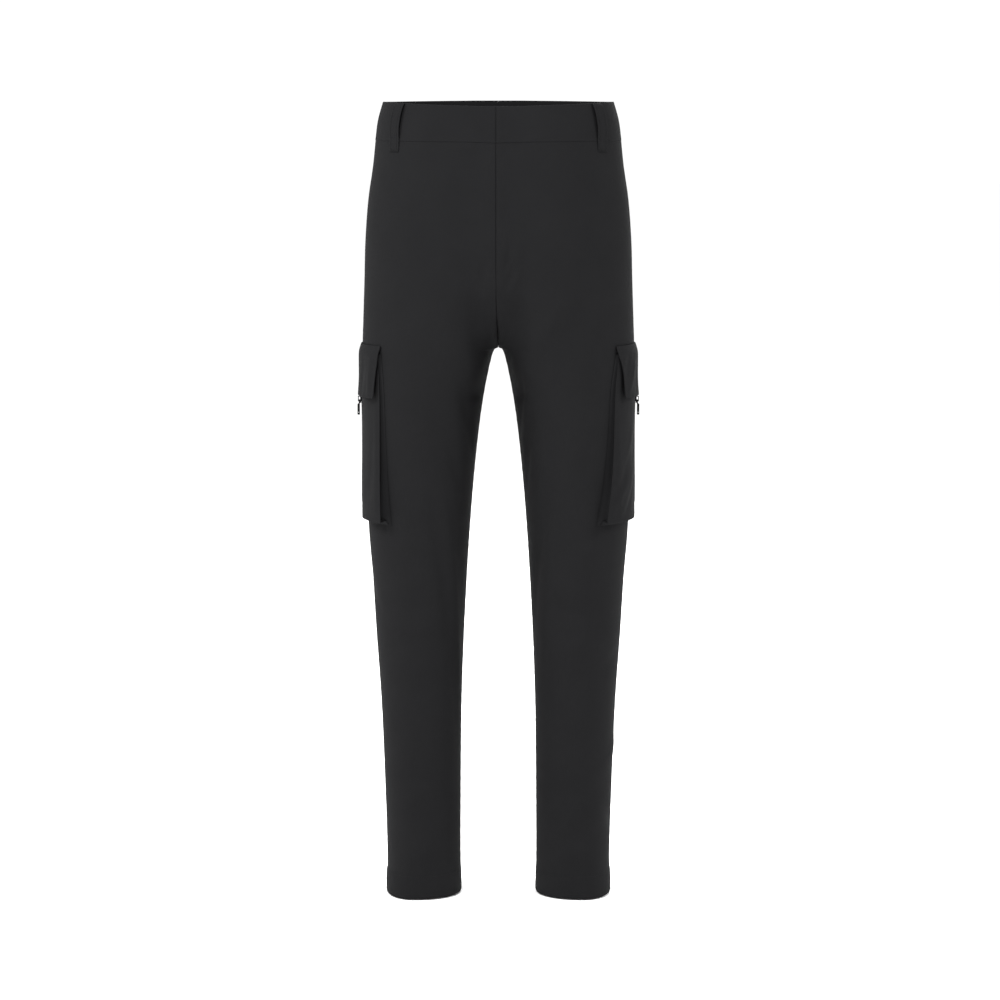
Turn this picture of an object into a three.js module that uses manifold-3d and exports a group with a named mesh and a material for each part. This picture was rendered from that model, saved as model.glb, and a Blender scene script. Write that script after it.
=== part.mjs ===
// Men's cargo pants in their worn, hollow form, with no wearer, in millimetres.
// +Z is up, -Y is the front of the garment and +X is the wearer's left. The origin is the centre of the
// waist, half way up the waistband, where a wearer holds the pants up.
import * as THREE from "three";
import { mergeVertices } from "three/addons/utils/BufferGeometryUtils.js";
import Module from "manifold-3d";

const wasm = await Module();
wasm.setup();

// Cloth, seams and the main levels.
const CLOTH = 1.2; // wall of a single panel
const SEAM = 0.3; // gap between pieces that are sewn together
const BAND = { proud: 0.6, inside: 2.0 }; // the waistband's faces, out and in from the panel's outer face
const HEM = { z: -1044, turnUp: 32, wall: 2.2 }; // the hem is two layers deep
const CROTCH = { z: -303, y: 12 };
const WAIST_TOP = { side: 25, front: 18.5, back: 27 };
const WAIST_SEAM = { side: -27, front: -29.8, back: -24 };

// The centre-front line lies a little to the wearer's right, because the left front laps over the right one.
// It is straight down to straightTo and reaches the middle at the crotch.
const FLY = { x: -3, bottom: -207, lap: 1.0, lapWidth: 16, lapEnd: 14, straightTo: -230 };
// A waist dart in each back panel.
const DART = { along: 130, bottom: -118, length: 60, width: 7, depth: 0.7 };

// The shape of half the garment at each height: the side seam, then the crest of the front and of the back.
// Above the crotch a crest is the fullest line of the front or the seat, and below it that of a leg.
const BODY = [
  { z: 27, side: 153.0, seamY: 4, frontX: -42, frontY: -109, backX: -46, backY: 118, round: 2.25 },
  { z: 0, side: 160.5, seamY: 4, frontX: -42, frontY: -112, backX: -48, backY: 121, round: 2.25 },
  { z: -27, side: 164.0, seamY: 4, frontX: -43, frontY: -115, backX: -52, backY: 124, round: 2.25 },
  { z: -60, side: 167.5, seamY: 3, frontX: -45, frontY: -118, backX: -58, backY: 129, round: 2.25 },
  { z: -106, side: 174.0, seamY: 2, frontX: -48, frontY: -121, backX: -66, backY: 137, round: 2.25 },
  { z: -160, side: 178.0, seamY: 1, frontX: -53, frontY: -123, backX: -72, backY: 144, round: 2.25 },
  { z: -213, side: 179.5, seamY: 1, frontX: -60, frontY: -121, backX: -78, backY: 147, round: 2.2 },
  { z: -267, side: 181.3, seamY: 2, frontX: -72, frontY: -117, backX: -84, backY: 141, round: 2.15 },
  { z: -303, side: 182.4, seamY: 3, frontX: -86, frontY: -113, backX: -90, backY: 134, round: 2.1 },
  { z: -350, side: 181.5, seamY: 4, frontX: -97, frontY: -108, backX: -97, backY: 124, round: 2.1 },
  { z: -450, side: 178.5, seamY: 5, frontX: -104, frontY: -99, backX: -105, backY: 106, round: 2.1 },
  { z: -550, side: 174.5, seamY: 3, frontX: -106, frontY: -91, backX: -107, backY: 94, round: 2.1 },
  { z: -611, side: 169.5, seamY: 2, frontX: -106, frontY: -86, backX: -107, backY: 88, round: 2.1 },
  { z: -686, side: 165.0, seamY: 3, frontX: -106, frontY: -80, backX: -105, backY: 84, round: 2.1 },
  { z: -782, side: 158.5, seamY: 4, frontX: -106, frontY: -72, backX: -102, backY: 81, round: 2.1 },
  { z: -892, side: 154.0, seamY: 6, frontX: -107, frontY: -65, backX: -98, backY: 78, round: 2.1 },
  { z: -1000, side: 151.0, seamY: 7, frontX: -111, frontY: -60, backX: -96, backY: 74, round: 2.1 },
  { z: -1022, side: 152.2, seamY: 7, frontX: -112, frontY: -59.5, backX: -95, backY: 73.5, round: 2.1 },
  { z: -1044, side: 152.4, seamY: 7, frontX: -113, frontY: -59, backX: -95, backY: 73, round: 2.1 },
];

// The cloth round the crotch point turns to its seams only near them: over is how far below the crotch that
// reaches, and near and far are how sharp the turn is at the crotch and away from it.
const TURN = { over: 70, near: 18, far: 4 };

// The inner side of a leg, by the depth below the crotch.
const INNER_LEG = [
  { below: 0, x: 0, seamY: 12 },
  { below: 4, x: 5.4, seamY: 12 },
  { below: 31, x: 13.1, seamY: 10 },
  { below: 98, x: 24.6, seamY: 7 },
  { below: 206, x: 35.5, seamY: 4 },
  { below: 342, x: 44.2, seamY: 2 },
  { below: 479, x: 49.6, seamY: 3 },
  { below: 644, x: 51.2, seamY: 6 },
  { below: 700, x: 51.2, seamY: 7 },
  { below: 741, x: 50.4, seamY: 7 },
];

// The front and the back of the garment. A crotch seam leaves the vertical at bendZ and curves under the
// body, and over the height web the cloth between the legs turns from two round legs into one flat front or
// seat. The seat's middle line lies in a hollow, which deepens over HOLLOW_OVER below the waist seam.
const FRONT = { name: "front", x: "frontX", y: "frontY", way: -1, bendZ: -203, web: 92, hollow: 0 };
const BACK = { name: "back", x: "backX", y: "backY", way: 1, bendZ: -172, web: 74, hollow: 8 };
const HOLLOW_OVER = 110;

// Large soft folds: out from the cloth where height is positive. along is the distance from the side seam,
// negative in front.
const FOLDS = [
  { half: -1, along: -172, z: -425, lean: 84, length: 95, width: 17, height: -3.2 },
  { half: 1, along: -176, z: -440, lean: 96, length: 80, width: 17, height: -2.6 },
  { half: -1, along: 120, z: -335, lean: 24, length: 60, width: 18, height: -3.6 },
  { half: 1, along: 118, z: -348, lean: 20, length: 62, width: 18, height: -3.2 },
  { half: -1, along: 110, z: -385, lean: 16, length: 55, width: 18, height: 3.0 },
  { half: 1, along: 112, z: -398, lean: 12, length: 52, width: 18, height: 2.6 },
  { half: -1, along: 95, z: -630, lean: 8, length: 60, width: 20, height: -3.4 },
  { half: 1, along: 98, z: -644, lean: -6, length: 58, width: 20, height: -3.0 },
  { half: -1, along: 84, z: -684, lean: -12, length: 52, width: 20, height: 2.6 },
  { half: 1, along: 88, z: -694, lean: 10, length: 54, width: 20, height: 2.8 },
  { half: -1, along: -70, z: -945, lean: -14, length: 50, width: 22, height: -2.0 },
  { half: 1, along: -66, z: -958, lean: 12, length: 48, width: 22, height: -2.2 },
];
// Folds die out this far from a seam, and the stiff cargo pocket keeps the leg smooth down to its foot.
const FOLD_FADE = { seam: 26, pocket: 92, pocketFoot: -548, below: 40 };

// Levels of a panel's rows, from the waist seam down; they close up round the crotch.
const PANEL_LEVELS = [
  WAIST_SEAM.side, -54, -86, -120, -155, -190, -217, -240, -258, -273, -284, -292, -298, -301.4, CROTCH.z,
  -304.4, -308, -315, -327, -345, -372, -405, -445, -490, -536, -580, -625, -672, -725, -782, -840, -898,
  -952, -996, -1010, -1014, HEM.z,
];
const SEAM_SLOPE_TO = 160;
const BAND_ROWS = 4;

// Cargo pocket: its columns are distances from the side seam, and they fall on the panels' own columns.
const POCKET = {
  edge: 88,
  foot: -540,
  gap: 0.8, // between its gussets' feet and the leg
  wall: 1.2,
  footWall: 1.56, // the slanting foot's wall, measured down the leg
  columns: [-88, -70, -50, -30, -12, -5.2, -4.2, 4.2, 5.2, 12, 30, 50, 70, 88],
};
// Height of the pocket's outer face off the leg, and how far its gussets reach past its edges.
const POCKET_ROWS = [
  { z: -308, middle: 2.5, edge: 3.2, spreadFront: 3, spreadBack: 3 },
  { z: -340, middle: 2.8, edge: 4.6, spreadFront: 3, spreadBack: 3.2 },
  { z: -357, middle: 2.9, edge: 5.2, spreadFront: 3, spreadBack: 3.5 },
  { z: -360, middle: 2.9, edge: 5.3, spreadFront: 3, spreadBack: 3.6 },
  { z: -400, middle: 3.2, edge: 7.0, spreadFront: 3, spreadBack: 4.2 },
  { z: -440, middle: 4.4, edge: 9.2, spreadFront: 3, spreadBack: 5 },
  { z: -480, middle: 6.2, edge: 12.4, spreadFront: 3, spreadBack: 6 },
  { z: -513, middle: 7.4, edge: 15.4, spreadFront: 3.2, spreadBack: 7 },
  { z: -516, middle: 7.6, edge: 15.6, spreadFront: 3.3, spreadBack: 7 },
  { z: -531, middle: 8.2, edge: 16.8, spreadFront: 3.6, spreadBack: 7.5 },
];
// The two pockets and flaps hang unevenly: how far forward each reaches, as a share of its edge.
const POCKET_REACH = [
  { z: -308, right: 1.0, left: 1.0 },
  { z: -350, right: 1.05, left: 1.09 },
  { z: -440, right: 1.04, left: 1.11 },
  { z: -531, right: 1.02, left: 1.16 },
];
const FLAP_REACH = [
  { z: -297, right: 1.0, left: 1.0 },
  { z: -308, right: 1.0, left: 1.0 },
  { z: -322, right: 0.995, left: 0.95 },
  { z: -338, right: 0.98, left: 0.925 },
  { z: -366, right: 0.965, left: 0.925 },
];
const FLAP = {
  edge: 90,
  wall: 1.6,
  cornerLift: 1.5,
  columns: [-90, -80, -70, -50, -30, -12, 0, 12, 30, 50, 70, 80, 90],
};
const FLAP_ROWS = [
  { z: -297, middle: 1.9, edge: 1.9 },
  { z: -301, middle: 3.2, edge: 3.4 },
  { z: -308, middle: 5.0, edge: 5.9 },
  { z: -322, middle: 5.5, edge: 7.6 },
  { z: -338, middle: 5.8, edge: 9.4 },
  { z: -354, middle: 6.8, edge: 11.2 },
  { z: -366, middle: 8.0, edge: 12.8 },
];

// The zip down the pocket's face lies in a shallow trough between two folded edges.
const ZIP = {
  top: -358.5,
  bottom: -514.5,
  halfWidth: 3.0,
  troughHalf: 4.7,
  trough: 1.2,
  gap: 0.5,
  proud: 0.4,
};
const ZIP_LEVELS = [ZIP.top - 1, -400, -440, -480, ZIP.bottom + 1];
const SLIDER = { z: -373, plate: 1.3, lift: 0.45 };
// Half the slider's outline: x across the zip and y up it.
const SLIDER_OUTLINE = [
  { x: 2.6, y: 5 },
  { x: 3.6, y: 3.4 },
  { x: 2.7, y: -4.4 },
  { x: 2.1, y: -5 },
];
// The bridge over the slider seen from its side, and the window in it for the pull.
const BRIDGE_HALF_WIDTH = 1.0;
const BRIDGE_OUTLINE = [
  { out: 0.4, y: -3.2 },
  { out: 3.6, y: -3.2 },
  { out: 4.4, y: -2.2 },
  { out: 4.4, y: 2.6 },
  { out: 3.0, y: 4.2 },
  { out: 0.4, y: 4.2 },
];
const BRIDGE_WINDOW = [
  { out: SLIDER.plate, y: -2.0 },
  { out: 3.3, y: -2.0 },
  { out: 3.3, y: 2.2 },
  { out: 2.5, y: 3.0 },
  { out: SLIDER.plate, y: 3.0 },
];
const PULL = { out: 2.3, wall: 1.0, legInside: 1.9, barBottom: -1.45, ringBottom: -4.6, tabHalf: 1.7 };
// Half the outline of the pull's ring, from the bar's top down.
const RING_OUTLINE = [
  { x: 3.0, y: -0.55 },
  { x: 3.0, y: -5.4 },
  { x: 1.8, y: -6.4 },
];
// The pull's thick tab seen from its side, and the small round eye through it.
const TAB_OUTLINE = [
  { out: 1.8, y: -4.9 },
  { out: 2.8, y: -4.9 },
  { out: 5.0, y: -8.0 },
  { out: 5.0, y: -20.0 },
  { out: 4.2, y: -21.0 },
  { out: 2.6, y: -21.0 },
  { out: 1.8, y: -20.0 },
];
const EYE = { out: 3.4, y: -18.2, radius: 0.9, corners: 16 };

const LOOP = { width: 18, wall: 1.2, backExtra: 1.8, backRise: 2.6, free: 3 }; // free: where it stands off
// A belt loop's inner face: it leaves the band below its top edge and comes back to the panel under the seam.
const LOOP_ROWS = [
  { z: 22.5, stand: 0.9 },
  { z: 19, stand: 3.6 },
  { z: 13, stand: 5.1 },
  { z: 2, stand: 5.4 },
  { z: -10, stand: 5.0 },
  { z: -19, stand: 3.4 },
  { z: -25, stand: 1.5 },
  { z: -30.5, stand: 1.0 },
  { z: -34, stand: 0.35 },
  { z: -41, stand: 0.35 },
];
const LOOP_PLACES = [
  { name: "front", along: -86 },
  { name: "side", along: 96 },
];

const COLOURS = {
  cloth: { color: 0x2e2e2e, roughness: 0.85, metalness: 0.0 },
  zip: { color: 0x161616, roughness: 0.6, metalness: 0.0 },
  metal: { color: 0x1b1b1c, roughness: 0.4, metalness: 0.8 },
};

// The under-lap, the closed zip in front of it, and the hook and bar between the band and the under-lap.
const SHIELD = {
  left: -38,
  leftBottom: -22,
  narrowFrom: -160,
  right: 14,
  back: 3.6,
  bandBack: 4.7,
  bandFrom: -46,
  bandOver: 20,
  wall: 1.2,
};
const SHIELD_LEVELS = [14, -4, -26, -36, -46, -62, -80, -100, -120, -140, -160, -185, FLY.bottom];
const FLY_TAPE = { left: -17, right: 11, back: 1.8, wall: 1.4 };
const FLY_TAPE_LEVELS = [-50, -64, -80, -100, -120, -140, -160, -180, -200];
const HOOK = { left: 5, right: 19, wall: 0.9 };
const HOOK_LEVELS = [4, -2, -8];

const NEAR = 1; // distance over which the cloth's slope is read
const SAME_POINT = 1e-4;

const pants = new THREE.Group();

const clamp = (t) => Math.min(1, Math.max(0, t));
const mix = (a, b, t) => a + (b - a) * t;
const ease = (t) => clamp(t) ** 2 * (3 - 2 * clamp(t));

// A smooth curve through one column of a table, read at the value of its key column.
function curve(table, key, at, read, scale = (v) => v) {
  const falling = scale(table[0][key]) > scale(table[table.length - 1][key]);
  const rows = falling ? [...table].reverse() : table;
  const key0 = (i) => scale(rows[i][key]);
  const last = rows.length - 1;
  const x = Math.min(key0(last), Math.max(key0(0), scale(at)));
  let i = 0;
  while (i < last - 1 && x > key0(i + 1)) i += 1;
  const slope = (k) => {
    const a = Math.max(0, k - 1);
    const b = Math.min(last, k + 1);
    return (rows[b][read] - rows[a][read]) / (key0(b) - key0(a));
  };
  const span = key0(i + 1) - key0(i);
  const t = (x - key0(i)) / span;
  return (
    rows[i][read] * (1 + 2 * t) * (1 - t) ** 2 +
    rows[i + 1][read] * t * t * (3 - 2 * t) +
    slope(i) * span * t * (1 - t) ** 2 -
    slope(i + 1) * span * t * t * (1 - t)
  );
}

const body = (read, z) => curve(BODY, "z", z, read);
const innerLeg = (read, z) => curve(INNER_LEG, "below", Math.max(0, CROTCH.z - z), read, Math.sqrt);

// The point on the centre seam, or on the inseam below the crotch, where a face ends on the half with x < 0.
// softX and softY are the gentler line that the cloth beside it follows, and the last sharp turn to the seam
// is the closer to it the higher sharp is.
function seamEnd(face, half, z) {
  if (z > CROTCH.z) {
    const toMiddle = ease((FLY.straightTo - z) / (FLY.straightTo - CROTCH.z));
    const shift = face.way < 0 ? FLY.x * -half * (1 - toMiddle) : 0;
    const bend = clamp((face.bendZ - z) / (face.bendZ - CROTCH.z));
    const straight = body(face.y, z) - face.hollow * face.way * ease((WAIST_SEAM.side - z) / HOLLOW_OVER);
    const foot = CROTCH.y + (face.way * SEAM) / 2;
    const round = Math.sqrt(1 - bend * bend);
    const x = shift - SEAM / 2;
    return {
      x,
      y: mix(foot, straight, round),
      softX: x,
      softY: mix(foot, straight, mix(round, ease(1 - bend), bend ** 3)),
      sharp: mix(TURN.far, TURN.near, bend ** 4),
    };
  }
  const below = clamp((CROTCH.z - z) / TURN.over);
  const x = -innerLeg("x", z) - SEAM / 2;
  const y = innerLeg("seamY", z) + (face.way * SEAM) / 2;
  return { x, y, softX: x * ease(below), softY: y, sharp: mix(TURN.near, TURN.far, below) };
}

// The horizontal section of one face, from the side seam over its crest to the centre seam or inseam.
const STEPS = 24;
const sections = new Map();
function section(face, half, z) {
  const key = `${face.way} ${half} ${z.toFixed(3)}`;
  if (sections.has(key)) return sections.get(key);
  const side = -body("side", z);
  const seamY = body("seamY", z);
  const crestX = body(face.x, z);
  const crestY = body(face.y, z);
  const n = body("round", z);
  const end = seamEnd(face, half, z);
  const web = ease((z - CROTCH.z) / face.web);
  const points = [];
  for (let i = 0; i <= STEPS; i += 1) {
    const t = ((i / STEPS) * Math.PI) / 2;
    const out = i === STEPS ? 0 : Math.cos(t) ** (2 / n);
    points.push([mix(crestX, side, out), mix(seamY, crestY, Math.sin(t) ** (2 / n))]);
  }
  const softRise = (u) => mix(1 - Math.max(0, 1 - u ** n) ** (1 / n), ease(u), web);
  const softY = (x) => mix(crestY, end.softY, softRise(Math.min(1, (x - crestX) / (end.softX - crestX))));
  const last = end.y - softY(end.x);
  for (let i = 1; i <= STEPS; i += 1) {
    const u = i === STEPS ? 1 : Math.sin(((i / STEPS) * Math.PI) / 2);
    const x = mix(crestX, end.x, u);
    points.push([x, softY(x) + last * u ** end.sharp]);
  }
  const arc = [0];
  for (let i = 1; i < points.length; i += 1) {
    arc.push(arc[i - 1] + Math.hypot(points[i][0] - points[i - 1][0], points[i][1] - points[i - 1][1]));
  }
  const made = { points, arc, crest: arc[STEPS], total: arc[arc.length - 1] };
  sections.set(key, made);
  return made;
}

function atArc(cut, along) {
  const a = Math.min(cut.total, Math.max(0, along));
  let i = 1;
  while (i < cut.arc.length - 1 && cut.arc[i] < a) i += 1;
  const t = (a - cut.arc[i - 1]) / (cut.arc[i] - cut.arc[i - 1]);
  return [mix(cut.points[i - 1][0], cut.points[i][0], t), mix(cut.points[i - 1][1], cut.points[i][1], t)];
}

// How far the folds push the cloth out at a place on one half.
function foldHeight(half, along, z, toSeam) {
  let height = 0;
  for (const fold of FOLDS) {
    if (fold.half !== half || fold.along * along < 0) continue;
    const lean = THREE.MathUtils.degToRad(fold.lean);
    const da = along - fold.along;
    const dz = z - fold.z;
    const down = da * Math.cos(lean) + dz * Math.sin(lean);
    const across = dz * Math.cos(lean) - da * Math.sin(lean);
    height += fold.height * Math.exp(-((across / fold.width) ** 2) - (down / fold.length) ** 2);
  }
  const kept = FOLD_FADE.pocket * ease((z - FOLD_FADE.pocketFoot + FOLD_FADE.below) / FOLD_FADE.below);
  return height * ease(toSeam / FOLD_FADE.seam) * ease((Math.abs(along) - kept) / FOLD_FADE.seam);
}

// A place on the garment by its distance round from the side seam, negative in front, moved out by stand.
function skin(half, along, z, stand) {
  const face = along < 0 ? FRONT : BACK;
  const bare = (a, h) => {
    const [x, y] = atArc(section(a < 0 ? FRONT : BACK, half, h), Math.abs(a));
    return new THREE.Vector3(x, y, h);
  };
  const round = bare(along + NEAR, z).sub(bare(along - NEAR, z));
  const up = bare(along, z + NEAR).sub(bare(along, z - NEAR));
  const normal = up.cross(round).normalize();
  const toSeam = section(face, half, z).total - Math.abs(along);
  return bare(along, z).addScaledVector(normal, stand + foldHeight(half, along, z, toSeam));
}

// A place near the centre line of the front or back, by its x. It belongs to neither half.
function centrePoint(face, x, z, stand) {
  const crestX = body(face.x, z);
  const crestY = body(face.y, z);
  const end = seamEnd(face, 0, z);
  const y = mix(crestY, end.y, ease((-Math.abs(x) - crestX) / -crestX));
  return new THREE.Vector3(x, y + face.way * stand, z);
}

// One closed solid from two grids of points, the outer face and the inner face, joined round their rims.
function wall(outer, inner) {
  const rows = outer.length;
  const cols = outer[0].length;
  const points = [...outer.flat(), ...inner.flat()];
  const at = (layer, r, c) => layer * rows * cols + r * cols + c;
  const index = [];
  const quad = (a, b, c, d) => index.push(a, b, c, a, c, d);
  for (let r = 0; r + 1 < rows; r += 1) {
    for (let c = 0; c + 1 < cols; c += 1) {
      quad(at(0, r, c), at(0, r, c + 1), at(0, r + 1, c + 1), at(0, r + 1, c));
      quad(at(1, r, c), at(1, r + 1, c), at(1, r + 1, c + 1), at(1, r, c + 1));
    }
  }
  for (let c = 0; c + 1 < cols; c += 1) {
    quad(at(1, 0, c), at(1, 0, c + 1), at(0, 0, c + 1), at(0, 0, c));
    quad(at(0, rows - 1, c), at(0, rows - 1, c + 1), at(1, rows - 1, c + 1), at(1, rows - 1, c));
  }
  for (let r = 0; r + 1 < rows; r += 1) {
    quad(at(0, r, 0), at(0, r + 1, 0), at(1, r + 1, 0), at(1, r, 0));
    quad(at(1, r, cols - 1), at(1, r + 1, cols - 1), at(0, r + 1, cols - 1), at(0, r, cols - 1));
  }
  let volume = 0;
  for (let i = 0; i < index.length; i += 3) {
    const [a, b, c] = [points[index[i]], points[index[i + 1]], points[index[i + 2]]];
    volume += a.dot(b.clone().cross(c));
  }
  if (volume < 0) index.reverse();
  const geometry = new THREE.BufferGeometry().setFromPoints(points);
  geometry.setIndex(index);
  return geometry;
}

function add(name, geometry, finish, parent = pants) {
  const mesh = new THREE.Mesh(geometry, new THREE.MeshStandardMaterial(COLOURS[finish]));
  mesh.name = name;
  parent.add(mesh);
  return mesh;
}

// Points of the right half become points of the left one by a mirror in x.
const place = (half, point) => (half < 0 ? point : new THREE.Vector3(-point.x, point.y, point.z));
const grid = (rows, columns, make) => rows.map((r) => columns.map((c) => make(r, c)));
const steps = (count) => Array.from({ length: count + 1 }, (_, i) => i / count);
const HALVES = [
  { name: "right", half: -1 },
  { name: "left", half: 1 },
];

// A panel's columns: the first lie at fixed distances from the side seam, the next run to the crest, and the
// last run from there to the centre seam or inseam.
const NEAR_COLUMNS = [SEAM / 2, 12, 30, 50, 70, 88];
const TO_CREST = 4;
const TO_EDGE = 6;
const COLUMNS = NEAR_COLUMNS.length + TO_CREST + TO_EDGE;

// The distance of a column from the side seam, and as a share of the whole face.
function columnAt(face, half, column, z) {
  const { arc, total, crest } = section(face, half, z);
  const last = NEAR_COLUMNS.length - 1;
  const reach =
    column <= last
      ? NEAR_COLUMNS[column]
      : column <= last + TO_CREST
        ? mix(NEAR_COLUMNS[last], crest, (column - last) / TO_CREST)
        : arc[STEPS + ((column - last - TO_CREST) * STEPS) / TO_EDGE];
  return { reach, share: reach / total, toEdge: total - reach };
}

// Heights of the waist seam and of the waist's top edge, from the side seam to the centre.
const slopedLevel = (levels, face, share) => mix(levels.side, levels[face.name], ease(share));
const seamLevel = (face, share) => slopedLevel(WAIST_SEAM, face, share);
const topLevel = (face, share) => slopedLevel(WAIST_TOP, face, share);

// The left front's edge stands proud where it laps over the right front, down to the fly's bottom.
function lapHeight(face, half, toEdge, z) {
  if (face.way > 0 || half < 0) return 0;
  return FLY.lap * (1 - ease(toEdge / FLY.lapWidth)) * (1 - ease((FLY.bottom + FLY.lapEnd - z) / FLY.lapEnd));
}

// A waist dart takes the back panel in over the seat: a shallow valley along its stitched line.
function dartDepth(face, reach, z) {
  if (face.way < 0) return 0;
  const narrow = Math.exp(-(((reach - DART.along) / DART.width) ** 2));
  return DART.depth * narrow * ease((z - DART.bottom) / DART.length);
}

// Rows of a panel follow the waist seam's slope at the top, and it dies out further down.
function panelLevel(face, share, level) {
  const seam = seamLevel(face, share);
  if (level === PANEL_LEVELS[0]) return seam;
  return level + (seam - WAIST_SEAM.side) * clamp((level + SEAM_SLOPE_TO) / SEAM_SLOPE_TO);
}

function addPanels() {
  const columns = Array.from({ length: COLUMNS }, (_, i) => i);
  for (const { name, half } of HALVES) {
    for (const face of [FRONT, BACK]) {
      const layer = (outside) =>
        grid(PANEL_LEVELS, columns, (level, column) => {
          const z = panelLevel(face, columnAt(face, half, column, level).share, level);
          const { reach, toEdge } = columnAt(face, half, column, z);
          const thick = z < HEM.z + HEM.turnUp ? HEM.wall : CLOTH;
          const raised = lapHeight(face, half, toEdge, z) - dartDepth(face, reach, z);
          return place(half, skin(half, face.way * reach, z, outside ? raised : -thick));
        });
      add(`${face.name}_${name}`, wall(layer(true), layer(false)), "cloth");
    }
  }
}

// Each half of the waistband runs from the centre-front closure round the side to the centre-back seam.
function addWaistbands() {
  const inOrder = Array.from({ length: COLUMNS }, (_, i) => i);
  const around = [
    ...[...inOrder].reverse().map((column) => [FRONT, column]),
    ...inOrder.slice(1).map((column) => [BACK, column]),
  ];
  for (const { name, half } of HALVES) {
    const band = (outside) =>
      grid(steps(BAND_ROWS), around, (share, [face, column]) => {
        const level = mix(WAIST_SEAM.side, WAIST_TOP.side, share);
        const { reach, share: across, toEdge } = columnAt(face, half, column, level);
        const z = mix(seamLevel(face, across) + SEAM, topLevel(face, across), share);
        const { total } = section(face, half, z);
        const ends = { 0: 0, [COLUMNS - 1]: total };
        const along = face.way * (ends[column] ?? Math.min(reach, total));
        const stand = outside ? BAND.proud + lapHeight(face, half, toEdge, z) : -BAND.inside;
        return place(half, skin(half, along, z, stand));
      });
    add(`waistband_${name}`, wall(band(true), band(false)), "cloth");
  }
}

// A flat piece behind or in front of the centre line: stand is its outer face, out from the panel.
function centrePatch(face, levels, xs, stand, thick) {
  const layer = (extra) =>
    grid(levels, xs, (level, x) => centrePoint(face, x(level), level, stand(level) - extra));
  return wall(layer(0), layer(thick));
}

function addFly() {
  const across = (left, right, count) => steps(count).map((t) => (z) => mix(left(z), right, t));
  const narrowing = SHIELD.narrowFrom - FLY.bottom;
  const shieldLeft = (z) => mix(SHIELD.left, SHIELD.leftBottom, ease((SHIELD.narrowFrom - z) / narrowing));
  const inBand = (z) => ease((z - SHIELD.bandFrom) / SHIELD.bandOver);
  const shieldStand = (z) => -mix(SHIELD.back, SHIELD.bandBack, inBand(z));
  const shieldXs = across(shieldLeft, SHIELD.right, 3);
  add("fly_shield", centrePatch(FRONT, SHIELD_LEVELS, shieldXs, shieldStand, SHIELD.wall), "cloth");

  const tapeXs = [FLY_TAPE.left, FLY.x, FLY_TAPE.right].map((x) => () => x);
  add("fly_zip", centrePatch(FRONT, FLY_TAPE_LEVELS, tapeXs, () => -FLY_TAPE.back, FLY_TAPE.wall), "zip");

  const plateXs = across(() => HOOK.left, HOOK.right, 2);
  const hookStand = -BAND.inside - SEAM;
  const barStand = hookStand - HOOK.wall - SEAM;
  add("waist_hook", centrePatch(FRONT, HOOK_LEVELS, plateXs, () => hookStand, HOOK.wall), "metal");
  add("waist_bar", centrePatch(FRONT, HOOK_LEVELS, plateXs, () => barStand, HOOK.wall), "metal");
}

function addBeltLoops() {
  const across = [-LOOP.width / 2, 0, LOOP.width / 2];
  for (const { name, half } of HALVES) {
    for (const { name: where, along } of LOOP_PLACES) {
      const strap = (extra) =>
        grid(LOOP_ROWS, across, (row, a) => place(half, skin(half, along + a, row.z, row.stand + extra)));
      add(`belt_loop_${where}_${name}`, wall(strap(LOOP.wall), strap(0)), "cloth");
    }
  }
  const backStand = (row) => row.stand + (row.stand > LOOP.free ? LOOP.backExtra : 0);
  const backStrap = (extra) =>
    grid(LOOP_ROWS, across, (row, x) => centrePoint(BACK, x, row.z + LOOP.backRise, backStand(row) + extra));
  add("belt_loop_back", wall(backStrap(LOOP.wall), backStrap(0)), "cloth");
}

// Height of a pocket's or flap's outer face off the leg: lowest at the side seam, rising to front and back.
function standOff(rows, edge, z, along) {
  return mix(curve(rows, "z", z, "middle"), curve(rows, "z", z, "edge"), (along / edge) ** 2);
}

function pocketStand(z, along) {
  const inTrough = Math.abs(along) < ZIP.troughHalf && z < ZIP.top && z > ZIP.bottom;
  return standOff(POCKET_ROWS, POCKET.edge, z, along) - (inTrough ? ZIP.trough : 0);
}

// A place on a pocket or flap, which reaches forward as far as its half's share at that height.
function reached(rows, name, z, along) {
  return along < 0 ? along * curve(rows, "z", z, name) : along;
}

// A bellows pocket: its face, the gussets in front, behind and below down to the leg, and its open mouth.
function addPockets() {
  const lowest = POCKET_ROWS[POCKET_ROWS.length - 1].z;
  for (const { name, half } of HALVES) {
    const tray = (inside) => {
      const depth = inside ? POCKET.wall : 0;
      const edge = POCKET.edge - depth;
      const columns = POCKET.columns.map((along) => Math.min(edge, Math.max(-edge, along)));
      const row = (z, standAt) => {
        const at = (along, stand) =>
          place(half, skin(half, reached(POCKET_REACH, name, z, along), z, stand));
        const frontFoot = at(-edge - curve(POCKET_ROWS, "z", z, "spreadFront"), POCKET.gap);
        const backFoot = at(edge + curve(POCKET_ROWS, "z", z, "spreadBack"), POCKET.gap);
        return [frontFoot, ...columns.map((along) => at(along, standAt(along))), backFoot];
      };
      const rows = POCKET_ROWS.map(({ z }) =>
        row(z === lowest ? z + depth : z, (along) => pocketStand(z, along) - depth),
      );
      return [...rows, row(POCKET.foot + (inside ? POCKET.footWall : 0), () => POCKET.gap)];
    };
    add(`cargo_pocket_${name}`, wall(tray(false), tray(true)), "cloth");
  }
}

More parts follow.
